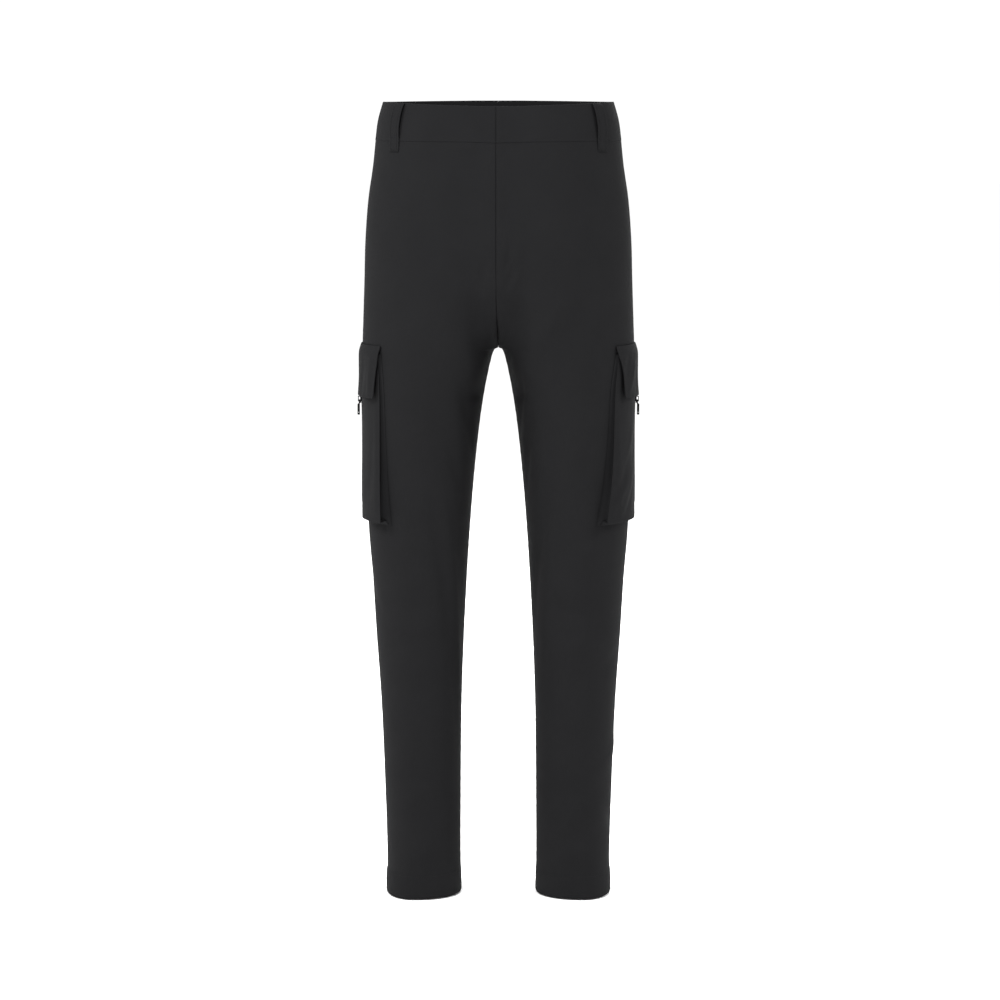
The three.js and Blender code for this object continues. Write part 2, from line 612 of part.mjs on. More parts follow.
function addFlaps() {
  const lowest = FLAP_ROWS[FLAP_ROWS.length - 1].z;
  for (const { name, half } of HALVES) {
    const sheet = (depth) =>
      grid(FLAP_ROWS, FLAP.columns, (row, along) => {
        const cornered = row.z === lowest && Math.abs(along) === FLAP.edge;
        const z = row.z + (cornered ? FLAP.cornerLift : 0);
        const stand = standOff(FLAP_ROWS, FLAP.edge, row.z, along) - depth;
        return place(half, skin(half, reached(FLAP_REACH, name, row.z, along), z, stand));
      });
    add(`cargo_flap_${name}`, wall(sheet(0), sheet(FLAP.wall)), "cloth");
  }
}

// The closed zip of each pocket, from under the flap down to the pocket's foot.
function addZips() {
  for (const { name, half } of HALVES) {
    const chain = (outside) =>
      grid(ZIP_LEVELS, [-ZIP.halfWidth, 0, ZIP.halfWidth], (z, along) => {
        const face = standOff(POCKET_ROWS, POCKET.edge, z, along);
        return place(half, skin(half, along, z, face + (outside ? ZIP.proud : ZIP.gap - ZIP.trough)));
      });
    add(`pocket_zip_${name}`, wall(chain(true), chain(false)), "zip");
  }
}

const outline = (points) => new THREE.Shape(points.map(([x, y]) => new THREE.Vector2(x, y)));

// A symmetric outline from its half with x above 0, top to bottom.
function mirrored(half) {
  const points = half.map(({ x, y }) => [x, y]);
  return outline([...[...points].reverse(), ...points.map(([x, y]) => [-x, y])]);
}

function slab(shape, from, to) {
  const settings = { depth: to - from, bevelEnabled: false };
  return new THREE.ExtrudeGeometry(shape, settings).translate(0, 0, from);
}

function merged(geometry) {
  geometry.deleteAttribute("normal");
  geometry.deleteAttribute("uv");
  return mergeVertices(geometry, SAME_POINT);
}

function toSolid(geometry) {
  const mesh = merged(geometry);
  return new wasm.Manifold(
    new wasm.Mesh({
      numProp: 3,
      vertProperties: new Float32Array(mesh.attributes.position.array),
      triVerts: new Uint32Array(mesh.index.array),
    }),
  );
}

function toGeometry(solid) {
  const { vertProperties, triVerts } = solid.getMesh();
  const geometry = new THREE.BufferGeometry();
  geometry.setAttribute("position", new THREE.BufferAttribute(vertProperties, 3));
  geometry.setIndex(new THREE.BufferAttribute(triVerts, 1));
  return geometry;
}

// A part drawn from its side, as wide as twice half across the zip.
function sideSlab(shape, half) {
  return slab(shape, -half, half).rotateY(-Math.PI / 2);
}

// The slider's plate with the arched bridge that holds the pull. Both are drawn with x across the zip, y up
// and z out from the pocket.
function sliderGeometry() {
  const plate = slab(mirrored(SLIDER_OUTLINE), 0, SLIDER.plate);
  const sideView = outline(BRIDGE_OUTLINE.map(({ out, y }) => [out, y]));
  sideView.holes.push(outline(BRIDGE_WINDOW.map(({ out, y }) => [out, y])));
  return toGeometry(toSolid(plate).add(toSolid(sideSlab(sideView, BRIDGE_HALF_WIDTH))));
}

// The pull: a ring whose top bar lies inside the bridge, and a thick tab with a small round eye.
function pullGeometry() {
  const shape = mirrored(RING_OUTLINE);
  const { legInside, ringBottom, barBottom } = PULL;
  const corners = [
    [-legInside, ringBottom],
    [-legInside, barBottom],
    [legInside, barBottom],
    [legInside, ringBottom],
  ];
  shape.holes.push(outline(corners));
  const ring = slab(shape, PULL.out - PULL.wall / 2, PULL.out + PULL.wall / 2);
  const sideView = outline(TAB_OUTLINE.map(({ out, y }) => [out, y]));
  const eye = Array.from({ length: EYE.corners }, (_, i) => {
    const turn = (2 * Math.PI * i) / EYE.corners;
    return [EYE.out + EYE.radius * Math.cos(turn), EYE.y + EYE.radius * Math.sin(turn)];
  });
  sideView.holes.push(outline(eye));
  return toGeometry(toSolid(ring).add(toSolid(sideSlab(sideView, PULL.tabHalf))));
}

function addSliders() {
  for (const { name, half } of HALVES) {
    const stand = standOff(POCKET_ROWS, POCKET.edge, SLIDER.z, 0) + ZIP.proud + SLIDER.lift;
    const out = new THREE.Vector3(half, 0, 0);
    const up = new THREE.Vector3(0, 0, 1);
    const mount = new THREE.Group();
    mount.position.copy(place(half, skin(half, 0, SLIDER.z, stand)));
    mount.quaternion.setFromRotationMatrix(new THREE.Matrix4().makeBasis(up.clone().cross(out), up, out));
    add(`zip_slider_${name}`, sliderGeometry(), "metal", mount);
    add(`zip_pull_${name}`, pullGeometry(), "metal", mount);
    pants.add(mount);
  }
}

addPanels();
addWaistbands();
addFly();
addBeltLoops();
addPockets();
addFlaps();
addZips();
addSliders();

export default pants;
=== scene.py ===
import math

import bmesh
import bpy
import numpy as np
from mathutils import Matrix, Vector


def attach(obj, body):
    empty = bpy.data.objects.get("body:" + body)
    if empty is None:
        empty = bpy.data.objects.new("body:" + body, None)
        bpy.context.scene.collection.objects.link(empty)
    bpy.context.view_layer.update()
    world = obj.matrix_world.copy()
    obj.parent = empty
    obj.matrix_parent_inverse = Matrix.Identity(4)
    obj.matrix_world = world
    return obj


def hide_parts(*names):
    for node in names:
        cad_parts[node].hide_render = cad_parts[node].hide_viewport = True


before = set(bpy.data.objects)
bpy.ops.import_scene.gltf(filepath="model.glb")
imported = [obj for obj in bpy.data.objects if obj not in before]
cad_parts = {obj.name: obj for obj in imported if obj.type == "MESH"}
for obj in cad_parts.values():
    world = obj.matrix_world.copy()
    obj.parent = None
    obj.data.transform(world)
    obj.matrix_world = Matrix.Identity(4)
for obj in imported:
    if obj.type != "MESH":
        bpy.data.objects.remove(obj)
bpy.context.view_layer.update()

# Men's cargo pants in charcoal stretch cotton, worn form, no wearer. Sizes are in millimetres, as the cutter works,
# and MM turns them to metres where a mesh is made.
MM = 0.001

CLOTH = 1.0  # wall of a single panel
SEAM = 0.16  # gap between pieces that are sewn together
BAND = {"proud": 0.35, "inside": 1.9, "gap": 0.2}
HEM = {"z": -1044.0, "turn_up": 32.0, "wall": 1.9, "proud": 0.35}
CROTCH = {"z": -303.0, "y": 12.0}
WAIST_TOP = {"side": 25.0, "front": 18.5, "back": 27.0, "flat_from": 1.6}
WAIST_SEAM = {"side": -27.0, "front": -29.8, "back": -24.0}
FLY = {"x": -3.0, "bottom": -207.0, "lap": 1.0, "lap_width": 16.0, "straight_to": -230.0}
DART = {"along": 130.0, "bottom": -118.0, "length": 60.0, "width": 5.0, "depth": 0.8}


def table(names, rows):
    """Rows of numbers as named columns, with the first column rising."""
    columns = np.array(sorted(rows), dtype=float).T
    return dict(zip(names.split(), columns))


# Half the garment at each height: the side seam, then the crest of the front and of the back.
BODY = table(
    "z side seam_y front_x front_y back_x back_y round",
    [
        (27, 153.0, 4, -42, -109, -46, 118, 2.25),
        (0, 160.5, 4, -42, -112, -48, 121, 2.25),
        (-27, 164.0, 4, -43, -115, -52, 124, 2.25),
        (-60, 167.5, 3, -45, -118, -58, 129, 2.25),
        (-106, 174.0, 2, -48, -121, -66, 137, 2.25),
        (-160, 178.0, 1, -53, -123, -72, 144, 2.25),
        (-213, 179.5, 1, -60, -121, -78, 147, 2.2),
        (-267, 181.3, 2, -72, -117, -84, 141, 2.15),
        (-303, 182.4, 3, -86, -113, -90, 134, 2.1),
        (-350, 181.5, 4, -97, -108, -97, 124, 2.1),
        (-450, 178.5, 5, -104, -99, -105, 106, 2.1),
        (-550, 174.5, 3, -106, -91, -107, 94, 2.1),
        (-611, 169.5, 2, -106, -86, -107, 88, 2.1),
        (-686, 165.0, 3, -106, -80, -105, 84, 2.1),
        (-782, 158.5, 4, -106, -72, -102, 81, 2.1),
        (-892, 154.0, 6, -107, -65, -98, 78, 2.1),
        (-1000, 151.0, 7, -111, -60, -96, 74, 2.1),
        (-1022, 152.2, 7, -112, -59.5, -95, 73.5, 2.1),
        (-1044, 152.4, 7, -113, -59, -95, 73, 2.1),
    ],
)
# The cloth round the crotch turns to its seams only near them: over is how far below the crotch that reaches,
# and near and far are how sharp the turn is at the crotch and away from it.
TURN = {"over": 70.0, "near": 18.0, "far": 4.0}
INNER_LEG = table(
    "below x seam_y",
    [
        (0, 0, 12),
        (4, 5.4, 12),
        (31, 13.1, 10),
        (98, 24.6, 7),
        (206, 35.5, 4),
        (342, 44.2, 2),
        (479, 49.6, 3),
        (644, 51.2, 6),
        (700, 51.2, 7),
        (741, 50.4, 7),
    ],
)
FRONT = {"name": "front", "x": "front_x", "y": "front_y", "way": -1, "bend_z": -203.0, "web": 92.0, "hollow": 0.0}
BACK = {"name": "back", "x": "back_x", "y": "back_y", "way": 1, "bend_z": -172.0, "web": 74.0, "hollow": 8.0}
RIGHT, LEFT = -1, 1
HALVES = {"right": RIGHT, "left": LEFT}

# Soft folds, each a long low swell: half, along from the side seam with the front negative, z, lean in degrees,
# length, width and height. All twelve are the solids' own.
FOLDS = [
    (RIGHT, -172, -425, 84, 95, 17, -3.2),
    (LEFT, -176, -440, 96, 80, 17, -2.6),
    (RIGHT, 120, -335, 24, 60, 18, -3.6),
    (LEFT, 118, -348, 20, 62, 18, -3.2),
    (RIGHT, 110, -385, 16, 55, 18, 3.0),
    (LEFT, 112, -398, 12, 52, 18, 2.6),
    (RIGHT, 95, -630, 8, 60, 20, -3.4),
    (LEFT, 98, -644, -6, 58, 20, -3.0),
    (RIGHT, 84, -684, -12, 52, 20, 2.6),
    (LEFT, 88, -694, 10, 54, 20, 2.8),
    (RIGHT, -70, -945, -14, 50, 22, -2.0),
    (LEFT, -66, -958, 12, 48, 22, -2.2),
]
FOLD_FADE = {"seam": 26.0, "pocket": 92.0, "pocket_foot": -548.0, "below": 40.0}


def clamp(t):
    return np.clip(t, 0.0, 1.0)


def mix(a, b, t):
    return a + (b - a) * t


def ease(t):
    return clamp(t) ** 2 * (3 - 2 * clamp(t))


def curve(columns, read, at, scale=lambda v: v):
    """A smooth curve through one column of a table, read where its first column has the value at."""
    keys = scale(next(iter(columns.values())))
    values = columns[read]
    last = len(keys) - 1
    before = np.maximum(np.arange(last + 1) - 1, 0)
    after = np.minimum(np.arange(last + 1) + 1, last)
    slopes = (values[after] - values[before]) / (keys[after] - keys[before])
    x = np.clip(scale(np.asarray(at, dtype=float)), keys[0], keys[last])
    i = np.clip(np.searchsorted(keys, x) - 1, 0, last - 1)
    span = keys[i + 1] - keys[i]
    t = (x - keys[i]) / span
    return (
        values[i] * (1 + 2 * t) * (1 - t) ** 2
        + values[i + 1] * t * t * (3 - 2 * t)
        + slopes[i] * span * t * (1 - t) ** 2
        - slopes[i + 1] * span * t * t * (1 - t)
    )


def body(read, z):
    return float(curve(BODY, read, z))


def seam_end(face, half, z):
    """Where a face ends, on the centre seam or on the inseam below the crotch, for the half with x below 0.
    The gentler line that the cloth beside it follows and the sharpness of the last turn to the seam come with it."""
    if z > CROTCH["z"]:
        fade = 1 - ease((FLY["straight_to"] - z) / 73)
        shift = FLY["x"] * -half * fade if face["way"] < 0 else 0.0
        bend = clamp((face["bend_z"] - z) / (face["bend_z"] - CROTCH["z"]))
        hollow = face["hollow"] * ease((WAIST_SEAM["side"] - z) / 110)
        straight = body(face["y"], z) - hollow * face["way"]
        foot = CROTCH["y"] + face["way"] * SEAM / 2
        turn = math.sqrt(1 - bend * bend)
        x = shift - SEAM / 2
        soft_y = mix(foot, straight, mix(turn, ease(1 - bend), bend**3))
        return x, mix(foot, straight, turn), x, soft_y, mix(TURN["far"], TURN["near"], bend**4)
    below = CROTCH["z"] - z
    x = -float(curve(INNER_LEG, "x", below, np.sqrt)) - SEAM / 2
    y = float(curve(INNER_LEG, "seam_y", below, np.sqrt)) + face["way"] * SEAM / 2
    share = clamp(below / TURN["over"])
    return x, y, x * ease(share), y, mix(TURN["near"], TURN["far"], share)


STEPS = 80  # points of a section from the side seam to the crest, and again from there to the edge


def section(face, half, z):
    """The horizontal section of one face as points and their distances from the side seam."""
    side, seam_y = -body("side", z), body("seam_y", z)
    crest_x, crest_y = body(face["x"], z), body(face["y"], z)
    n = body("round", z)
    end_x, end_y, soft_x, soft_y, sharp = seam_end(face, half, z)
    web = ease((z - CROTCH["z"]) / face["web"])
    turn = np.linspace(0, math.pi / 2, STEPS + 1)
    out = np.cos(turn[:-1]) ** (2 / n)
    out = np.append(out, 0.0)
    outer = np.stack([mix(crest_x, side, out), mix(seam_y, crest_y, np.sin(turn) ** (2 / n))], 1)
    u = np.sin(turn[1:])
    u[-1] = 1.0
    inner_x = mix(crest_x, end_x, u)
    v = np.minimum((inner_x - crest_x) / (soft_x - crest_x), 1)
    lobe = 1 - np.maximum(1 - v**n, 0) ** (1 / n)
    inner_y = mix(crest_y, soft_y, mix(lobe, ease(v), web))
    inner = np.stack([inner_x, inner_y + (end_y - inner_y[-1]) * u**sharp], 1)
    points = np.concatenate([outer, inner])
    arc = np.concatenate([[0], np.cumsum(np.linalg.norm(np.diff(points, axis=0), axis=1))])
    return points, arc


def swells(rows, half, along, z):
    """The height of a table of soft folds at places on one half."""
    height = np.zeros(np.broadcast(along, z).shape)
    for where, at, level, lean, length, width, rise in rows:
        if where != half:
            continue
        turn = math.radians(lean)
        da, dz = along - at, z - level
        down = da * math.cos(turn) + dz * math.sin(turn)
        across = dz * math.cos(turn) - da * math.sin(turn)
        swell = rise * np.exp(-((across / width) ** 2) - (down / length) ** 2)
        height = height + np.where(along * at < 0, 0.0, swell)
    return height


def fold_height(half, along, z, to_seam):
    """How far the folds push the cloth out at places on one half."""
    height = swells(FOLDS, half, along, z)
    pocket_from = FOLD_FADE["pocket_foot"] - FOLD_FADE["below"]
    kept = FOLD_FADE["pocket"] * ease((z - pocket_from) / FOLD_FADE["below"])
    return height * ease(to_seam / FOLD_FADE["seam"]) * ease((np.abs(along) - kept) / FOLD_FADE["seam"])


def pucker(distance, run, seed, reach=6.0, amount=0.09):
    """Small uneven puckers beside a line of sewing."""
    wave = np.sin(run / 2.1 + seed) + 0.8 * np.sin(run / 3.37 + 2 * seed) + 0.6 * np.sin(run / 1.27 + seed)
    return amount * np.exp(-((distance / reach) ** 2)) * wave


# The bare garment looked up on a 2 mm net, for all that lies on the panels.
NET = 2.0
NET_Z = np.arange(HEM["z"] - 4, 32, NET)
NET_ARC = np.arange(0, 330, NET)


def make_net(face, half):
    net = np.zeros((len(NET_Z), len(NET_ARC), 2))
    total = np.zeros(len(NET_Z))
    for i, z in enumerate(NET_Z):
        points, arc = section(face, half, z)
        total[i] = arc[-1]
        for k in (0, 1):
            net[i, :, k] = np.interp(NET_ARC, arc, points[:, k])
    return net, total


NETS = {(face["way"], half): make_net(face, half) for face in (FRONT, BACK) for half in (RIGHT, LEFT)}


def on_net(half, along, z):
    """Points of the bare garment and their distance to the panel's far edge."""
    along, z = np.broadcast_arrays(np.asarray(along, float), np.asarray(z, float))
    points = np.zeros(along.shape + (3,))
    to_edge = np.zeros(along.shape)
    row = np.clip((z - NET_Z[0]) / NET, 0, len(NET_Z) - 1.001)
    column = np.clip(np.abs(along) / NET, 0, len(NET_ARC) - 1.001)
    r, c = row.astype(int), column.astype(int)
    fr, fc = row - r, column - c
    for face in (FRONT, BACK):
        net, total = NETS[(face["way"], half)]
        mine = (along < 0) if face["way"] < 0 else (along >= 0)
        low = mix(net[r, c], net[r, c + 1], fc[..., None])
        high = mix(net[r + 1, c], net[r + 1, c + 1], fc[..., None])
        flat = mix(low, high, fr[..., None])
        points[..., :2] = np.where(mine[..., None], flat, points[..., :2])
        to_edge = np.where(mine, mix(total[r], total[r + 1], fr) - np.abs(along), to_edge)
    points[..., 2] = z
    return points, to_edge


def skin(half, along, z, stand):
    """Places on the garment, folds and all, moved out by stand. They are still on the half with x below 0."""
    along, z = np.broadcast_arrays(np.asarray(along, float), np.asarray(z, float))
    points, to_edge = on_net(half, along, z)
    around = on_net(half, along + NET, z)[0] - on_net(half, along - NET, z)[0]
    up = on_net(half, along, z + NET)[0] - on_net(half, along, z - NET)[0]
    normal = np.cross(up, around)
    normal /= np.linalg.norm(normal, axis=-1, keepdims=True)
    height = np.asarray(stand) + fold_height(half, along, z, to_edge)
    return points + normal * height[..., None]


def place(half, points):
    """The left half is the mirror of the right one."""
    return points * np.array([1, 1, 1]) if half < 0 else points * np.array([-1, 1, 1])


def lap_height(face, half, to_edge, z):
    if face["way"] > 0 or half < 0:
        return 0.0
    return FLY["lap"] * (1 - ease(to_edge / FLY["lap_width"])) * (1 - ease((FLY["bottom"] + 14 - z) / 14))


# Meshes


def new_object(name, vertices, faces, uv=None):
    """A mesh object from vertices in millimetres, with its faces out and one UV in metres for each vertex."""
    mesh = bpy.data.meshes.new(name)
    mesh.from_pydata((np.asarray(vertices) * MM).tolist(), [], faces)
    if uv is not None:
        layer = mesh.uv_layers.new(name="cloth")
        index = np.zeros(len(mesh.loops), dtype=np.int32)
        mesh.loops.foreach_get("vertex_index", index)
        layer.data.foreach_set("uv", (np.asarray(uv)[index] * MM).ravel())
    mesh.update()
    made = bpy.data.objects.new(name, mesh)
    bpy.context.collection.objects.link(made)
    return made


def volume_sign(vertices, faces):
    v = np.asarray(vertices)
    f = np.asarray([face[:3] for face in faces] + [(face[0], face[2], face[3]) for face in faces if len(face) == 4])
    return np.einsum("ij,ij->i", v[f[:, 0]], np.cross(v[f[:, 1]], v[f[:, 2]])).sum()


def shell(name, outer, inner, uv):
    """A closed wall from an outer and an inner grid of points, joined round their rims."""
    rows, columns = outer.shape[:2]
    vertices = np.concatenate([outer.reshape(-1, 3), inner.reshape(-1, 3)])
    number = np.arange(rows * columns).reshape(rows, columns)
    a, b = number[:-1, :-1], number[:-1, 1:]
    c, d = number[1:, 1:], number[1:, :-1]
    under = rows * columns
    faces = [np.stack([a, b, c, d], -1).reshape(-1, 4), np.stack([a, d, c, b], -1).reshape(-1, 4) + under]
    rim = [number[0, ::-1], number[-1, :], number[:, 0], number[::-1, -1]]
    for line in rim:
        p, q = line[:-1], line[1:]
        faces.append(np.stack([q, p, p + under, q + under], -1))
    faces = np.concatenate(faces)
    flat = uv.reshape(-1, 2)
    if volume_sign(vertices, faces.tolist()) < 0:
        faces = faces[:, ::-1]
    return new_object(name, vertices, faces.tolist(), np.concatenate([flat, flat]))


def grid_normals(points):
    """Unit normals of a grid of points, on the side that a right-hand turn from rows to columns gives."""
    across = np.gradient(points, axis=1)
    down = np.gradient(points, axis=0)
    normal = np.cross(down, across)
    return normal / np.maximum(np.linalg.norm(normal, axis=-1, keepdims=True), 1e-9)


def rounded(distance, radius):
    """How far a rolled edge lies below the cloth's face at a distance from the edge."""
    return radius - np.sqrt(np.maximum(radius**2 - np.maximum(radius - distance, 0) ** 2, 0))


def finish_cloth(piece, finish, body_name="root", angle=50):
    piece.data.materials.append(finish)
    bpy.ops.object.select_all(action="DESELECT")
    piece.select_set(True)
    bpy.context.view_layer.objects.active = piece
    bpy.ops.object.shade_smooth_by_angle(angle=math.radians(angle))
    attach(piece, body_name)
    return piece


# Panels

PANEL_COLUMNS = 78
PANEL_LEVELS = np.concatenate(
    [
        np.linspace(0, 1, 56)[:-1] * (-232.0 - WAIST_SEAM["side"]) + WAIST_SEAM["side"],
        -232.0 - np.sin(np.linspace(0, math.pi / 2, 34))[:-1] * 71.0,
        CROTCH["z"] - (1 - np.cos(np.linspace(0, math.pi / 2, 20)))[:-1] * 42.0,
        np.linspace(-345.0, -1008.0, 142)[:-1],
        np.linspace(-1008.0, HEM["z"], 14),
    ]
)
SEAM_SLOPE_TO = 160.0
# Finer creases of the four panels, in the same columns as the folds.
CREASES = [
    (LEFT, -222, -38, 4, 34, 7, -0.8),
    (RIGHT, -214, -44, -3, 40, 8, -0.8),
    (LEFT, -241, -178, 78, 20, 5, -1.9),
    (LEFT, -236, -202, 62, 22, 5, -1.8),
    (LEFT, -228, -190, 84, 20, 5, 1.3),
    (RIGHT, -232, -208, 106, 24, 7, -1.4),
    (RIGHT, -226, -252, 76, 54, 14, -4.2),
    (LEFT, -228, -254, 78, 52, 14, -4.0),
    (RIGHT, -190, -270, 54, 60, 13, 2.2),
    (LEFT, -192, -276, 58, 56, 13, 2.0),
    (RIGHT, -226, -392, 70, 46, 11, -3.0),
    (LEFT, -250, -372, 74, 40, 11, -2.6),
    (RIGHT, -196, -456, 78, 46, 10, -2.4),
    (LEFT, -230, -440, 80, 44, 10, -2.4),
    (RIGHT, -158, -620, 88, 150, 11, -2.8),
    (LEFT, -190, -560, 86, 100, 11, -2.4),
    (RIGHT, -178, -610, 88, 120, 8, 1.4),
    (LEFT, -166, -610, 88, 110, 9, 1.3),
    (RIGHT, -104, -640, 14, 44, 13, -1.9),
    (LEFT, -112, -656, -16, 40, 12, -1.8),
    (RIGHT, -98, -676, -8, 46, 12, 1.6),
    (LEFT, -96, -694, 12, 42, 12, 1.5),
    (RIGHT, -64, -712, -26, 40, 11, -1.5),
    (LEFT, -60, -724, 24, 38, 11, -1.4),
    (RIGHT, -96, -880, 14, 46, 14, -1.8),
    (LEFT, -100, -900, -12, 44, 14, -1.8),
    (RIGHT, -110, -976, -14, 44, 12, 1.6),
    (LEFT, -106, -984, 12, 40, 12, 1.6),
    (RIGHT, 146, -262, 38, 60, 12, -3.2),
    (LEFT, 150, -270, 34, 62, 12, -2.9),
    (RIGHT, 168, -300, 46, 50, 10, 2.4),
    (LEFT, 164, -306, 42, 52, 10, 2.2),
    (RIGHT, 196, -286, 58, 44, 9, -2.2),
    (LEFT, 200, -292, 54, 42, 9, -2.0),
    (RIGHT, 60, -120, 70, 40, 14, -1.5),
    (LEFT, 64, -130, 76, 42, 14, -1.5),
    (RIGHT, 124, -550, 16, 46, 12, 2.2),
    (LEFT, 126, -566, -10, 48, 12, 2.0),
    (RIGHT, 146, -596, 22, 44, 11, -2.0),
    (LEFT, 148, -612, -18, 46, 11, -1.9),
    (RIGHT, 112, -735, -12, 44, 12, -2.2),
    (LEFT, 108, -745, 14, 46, 12, -2.2),
    (RIGHT, 100, -860, 12, 40, 14, 1.6),
    (LEFT, 98, -876, -14, 42, 14, 1.6),
    (RIGHT, 92, -946, 16, 46, 13, -2.4),
    (LEFT, 98, -940, -14, 48, 13, -2.2),
    (RIGHT, 86, -990, -10, 42, 11, 1.8),
    (LEFT, 90, -986, 10, 42, 11, 1.7),
    (RIGHT, -10, -620, 40, 60, 12, -1.6),
    (LEFT, 8, -640, 144, 60, 12, -1.6),
    (RIGHT, 12, -820, 150, 70, 12, 1.4),
    (LEFT, -12, -840, 30, 70, 12, 1.4),
    (RIGHT, 10, -930, 28, 60, 12, -1.6),
    (LEFT, -8, -946, 150, 60, 12, -1.6),
]
CREASE_FADE = {"seam": 16.0, "hem": 26.0}


def panel_share(columns):
    """Column places from 0 at the side seam to 1 at the centre or inseam, closer together near both edges."""
    t = np.linspace(0, 1, columns)
    return mix(t, 0.5 - 0.5 * np.cos(math.pi * t), 0.72)


def seam_level(face, share):
    return mix(WAIST_SEAM["side"], WAIST_SEAM[face["name"]], ease(share))


def top_level(face, share):
    return mix(WAIST_TOP["side"], WAIST_TOP[face["name"]], ease(share * WAIST_TOP["flat_from"]))


def section_row(face, half, heights, shares):
    """One row of places on a face: points, distances from the side seam and distances to the far edge."""
    index = np.arange(2 * STEPS + 1)
    flat, along, left = [], [], []
    level = np.ptp(heights) < 1e-6
    groups = [(heights[0], shares)] if level else [(z, np.array([share])) for z, share in zip(heights, shares)]
    for z, share in groups:
        points, arc = section(face, half, float(z))
        at = np.maximum(np.interp(share * 2 * STEPS, index, arc), SEAM / 2)
        flat.append(np.stack([np.interp(at, arc, points[:, k]) for k in (0, 1)], 1))
        along.append(at)
        left.append(arc[-1] - at)
    return np.concatenate(flat), np.concatenate(along), np.concatenate(left)


def panel_grid(face, half, heights, shares):
    """The bare points of a grid of heights, with their distances along and to the far edge."""
    rows = [section_row(face, half, row, shares) for row in heights]
    flat, along, to_edge = [np.array(part) for part in zip(*rows)]
    return np.concatenate([flat, heights[..., None]], axis=-1), along, to_edge


def panel_creases(half, along, z, to_edge):
    fade = ease(to_edge / CREASE_FADE["seam"]) * ease((z - HEM["z"]) / CREASE_FADE["hem"])
    smooth = FOLD_FADE["pocket"] * ease((z - FOLD_FADE["pocket_foot"] + FOLD_FADE["below"]) / FOLD_FADE["below"])
    kept = ease((np.abs(along) - smooth) / CREASE_FADE["seam"])
    return swells(CREASES, half, along, z) * fade * kept


def make_panel(name, face, half, finish):
    shares = panel_share(PANEL_COLUMNS)
    seam = seam_level(face, shares)[None, :]
    levels = PANEL_LEVELS[:, None]
    slope = clamp((levels + SEAM_SLOPE_TO) / (SEAM_SLOPE_TO + WAIST_SEAM["side"]))
    heights = levels + (seam - WAIST_SEAM["side"]) * slope
    points, along, to_edge = panel_grid(face, half, heights, shares)
    normal = grid_normals(points) * -face["way"]
    z, signed = heights, face["way"] * along
    stand = fold_height(half, signed, z, to_edge) + panel_creases(half, signed, z, to_edge)
    stand = stand + lap_height(face, half, to_edge, z)
    stand = stand + pucker(along, z, 1.7) + pucker(to_edge, z, 4.2) + pucker(seam - z, along, 5.6)
    if face["way"] > 0:
        in_dart = np.exp(-np.abs((along - DART["along"]) / DART["width"])) * ease((z - DART["bottom"]) / DART["length"])
        stand = stand - DART["depth"] * in_dart
    hem = ease((HEM["z"] + HEM["turn_up"] + 1.5 - z) / 3)
    stand = stand + HEM["proud"] * hem + pucker(z - HEM["z"] - HEM["turn_up"], along, 2.9, 4.0, 0.06)
    stand = stand - rounded(along, 0.7) - rounded(to_edge, 0.7) - rounded(z - HEM["z"], 0.9)
    wall = mix(CLOTH, HEM["wall"], hem)
    outer = points + normal * stand[..., None]
    inner = outer - normal * wall[..., None]
    uv = np.stack([signed, z], -1)
    return finish_cloth(shell(name, place(half, outer), place(half, inner), uv), finish)


# Waistband: one folded strip for each half, from the centre-front closure round the side to the centre back.
BAND_LEVELS = np.concatenate([[0, 0.008, 0.02, 0.045], np.linspace(0.08, 0.92, 18), [0.955, 0.98, 0.992, 1]])
BAND_CREASES = [
    (LEFT, -236, -18, 4, 16, 2.6, 0.45),
    (LEFT, -236, -12, -8, 18, 2.8, -0.45),
    (LEFT, -148, 7, 6, 15, 3.4, -0.45),
    (LEFT, -176, -20, 14, 18, 3.0, 0.4),
    (RIGHT, -120, 6, 20, 18, 5.0, -0.4),
    (RIGHT, -200, -8, 70, 14, 4.5, 0.4),
    (RIGHT, 60, 2, 66, 20, 6.0, -0.5),
    (LEFT, 74, -4, 100, 18, 6.0, -0.6),
    (LEFT, 122, 6, 60, 16, 5.0, 0.4),
]


def make_waistband(name, half, finish):
    shares = panel_share(PANEL_COLUMNS)
    parts = []
    for face in (FRONT, BACK):
        low, high = seam_level(face, shares) + BAND["gap"], top_level(face, shares)
        z = low + (high - low) * BAND_LEVELS[:, None]
        points, along, to_edge = panel_grid(face, half, z, shares)
        signed = face["way"] * along
        stand = BAND["proud"] + lap_height(face, half, to_edge, z)
        stand = stand + swells(BAND_CREASES, half, signed, z) * ease(to_edge / 6)
        stand = stand + pucker(z - low, along, 3.1, 6, 0.07)
        stand = stand - rounded(z - low, 0.4) - rounded(high - z, 0.9) - rounded(to_edge, 0.5)
        inside = -BAND["inside"] + rounded(z - low, 0.7) + rounded(high - z, 0.9)
        parts.append((points, signed, z, stand, inside))
    front, back = [[layer.copy() for layer in part] for part in parts]
    front[0][:, 0, 0] = back[0][:, 0, 0] = -curve(BODY, "side", front[2][:, 0])
    front[0][:, 0, 1] = back[0][:, 0, 1] = curve(BODY, "seam_y", front[2][:, 0])
    joined = [np.concatenate([np.flip(a, axis=1), b[:, 1:]], axis=1) for a, b in zip(front, back)]
    points, along, z, stand, inside = joined
    normal = grid_normals(points)
    outer = points + normal * stand[..., None]
    inner = points + normal * inside[..., None]
    uv = np.stack([along, z], -1)
    return finish_cloth(shell(name, place(half, outer), place(half, inner), uv), finish)


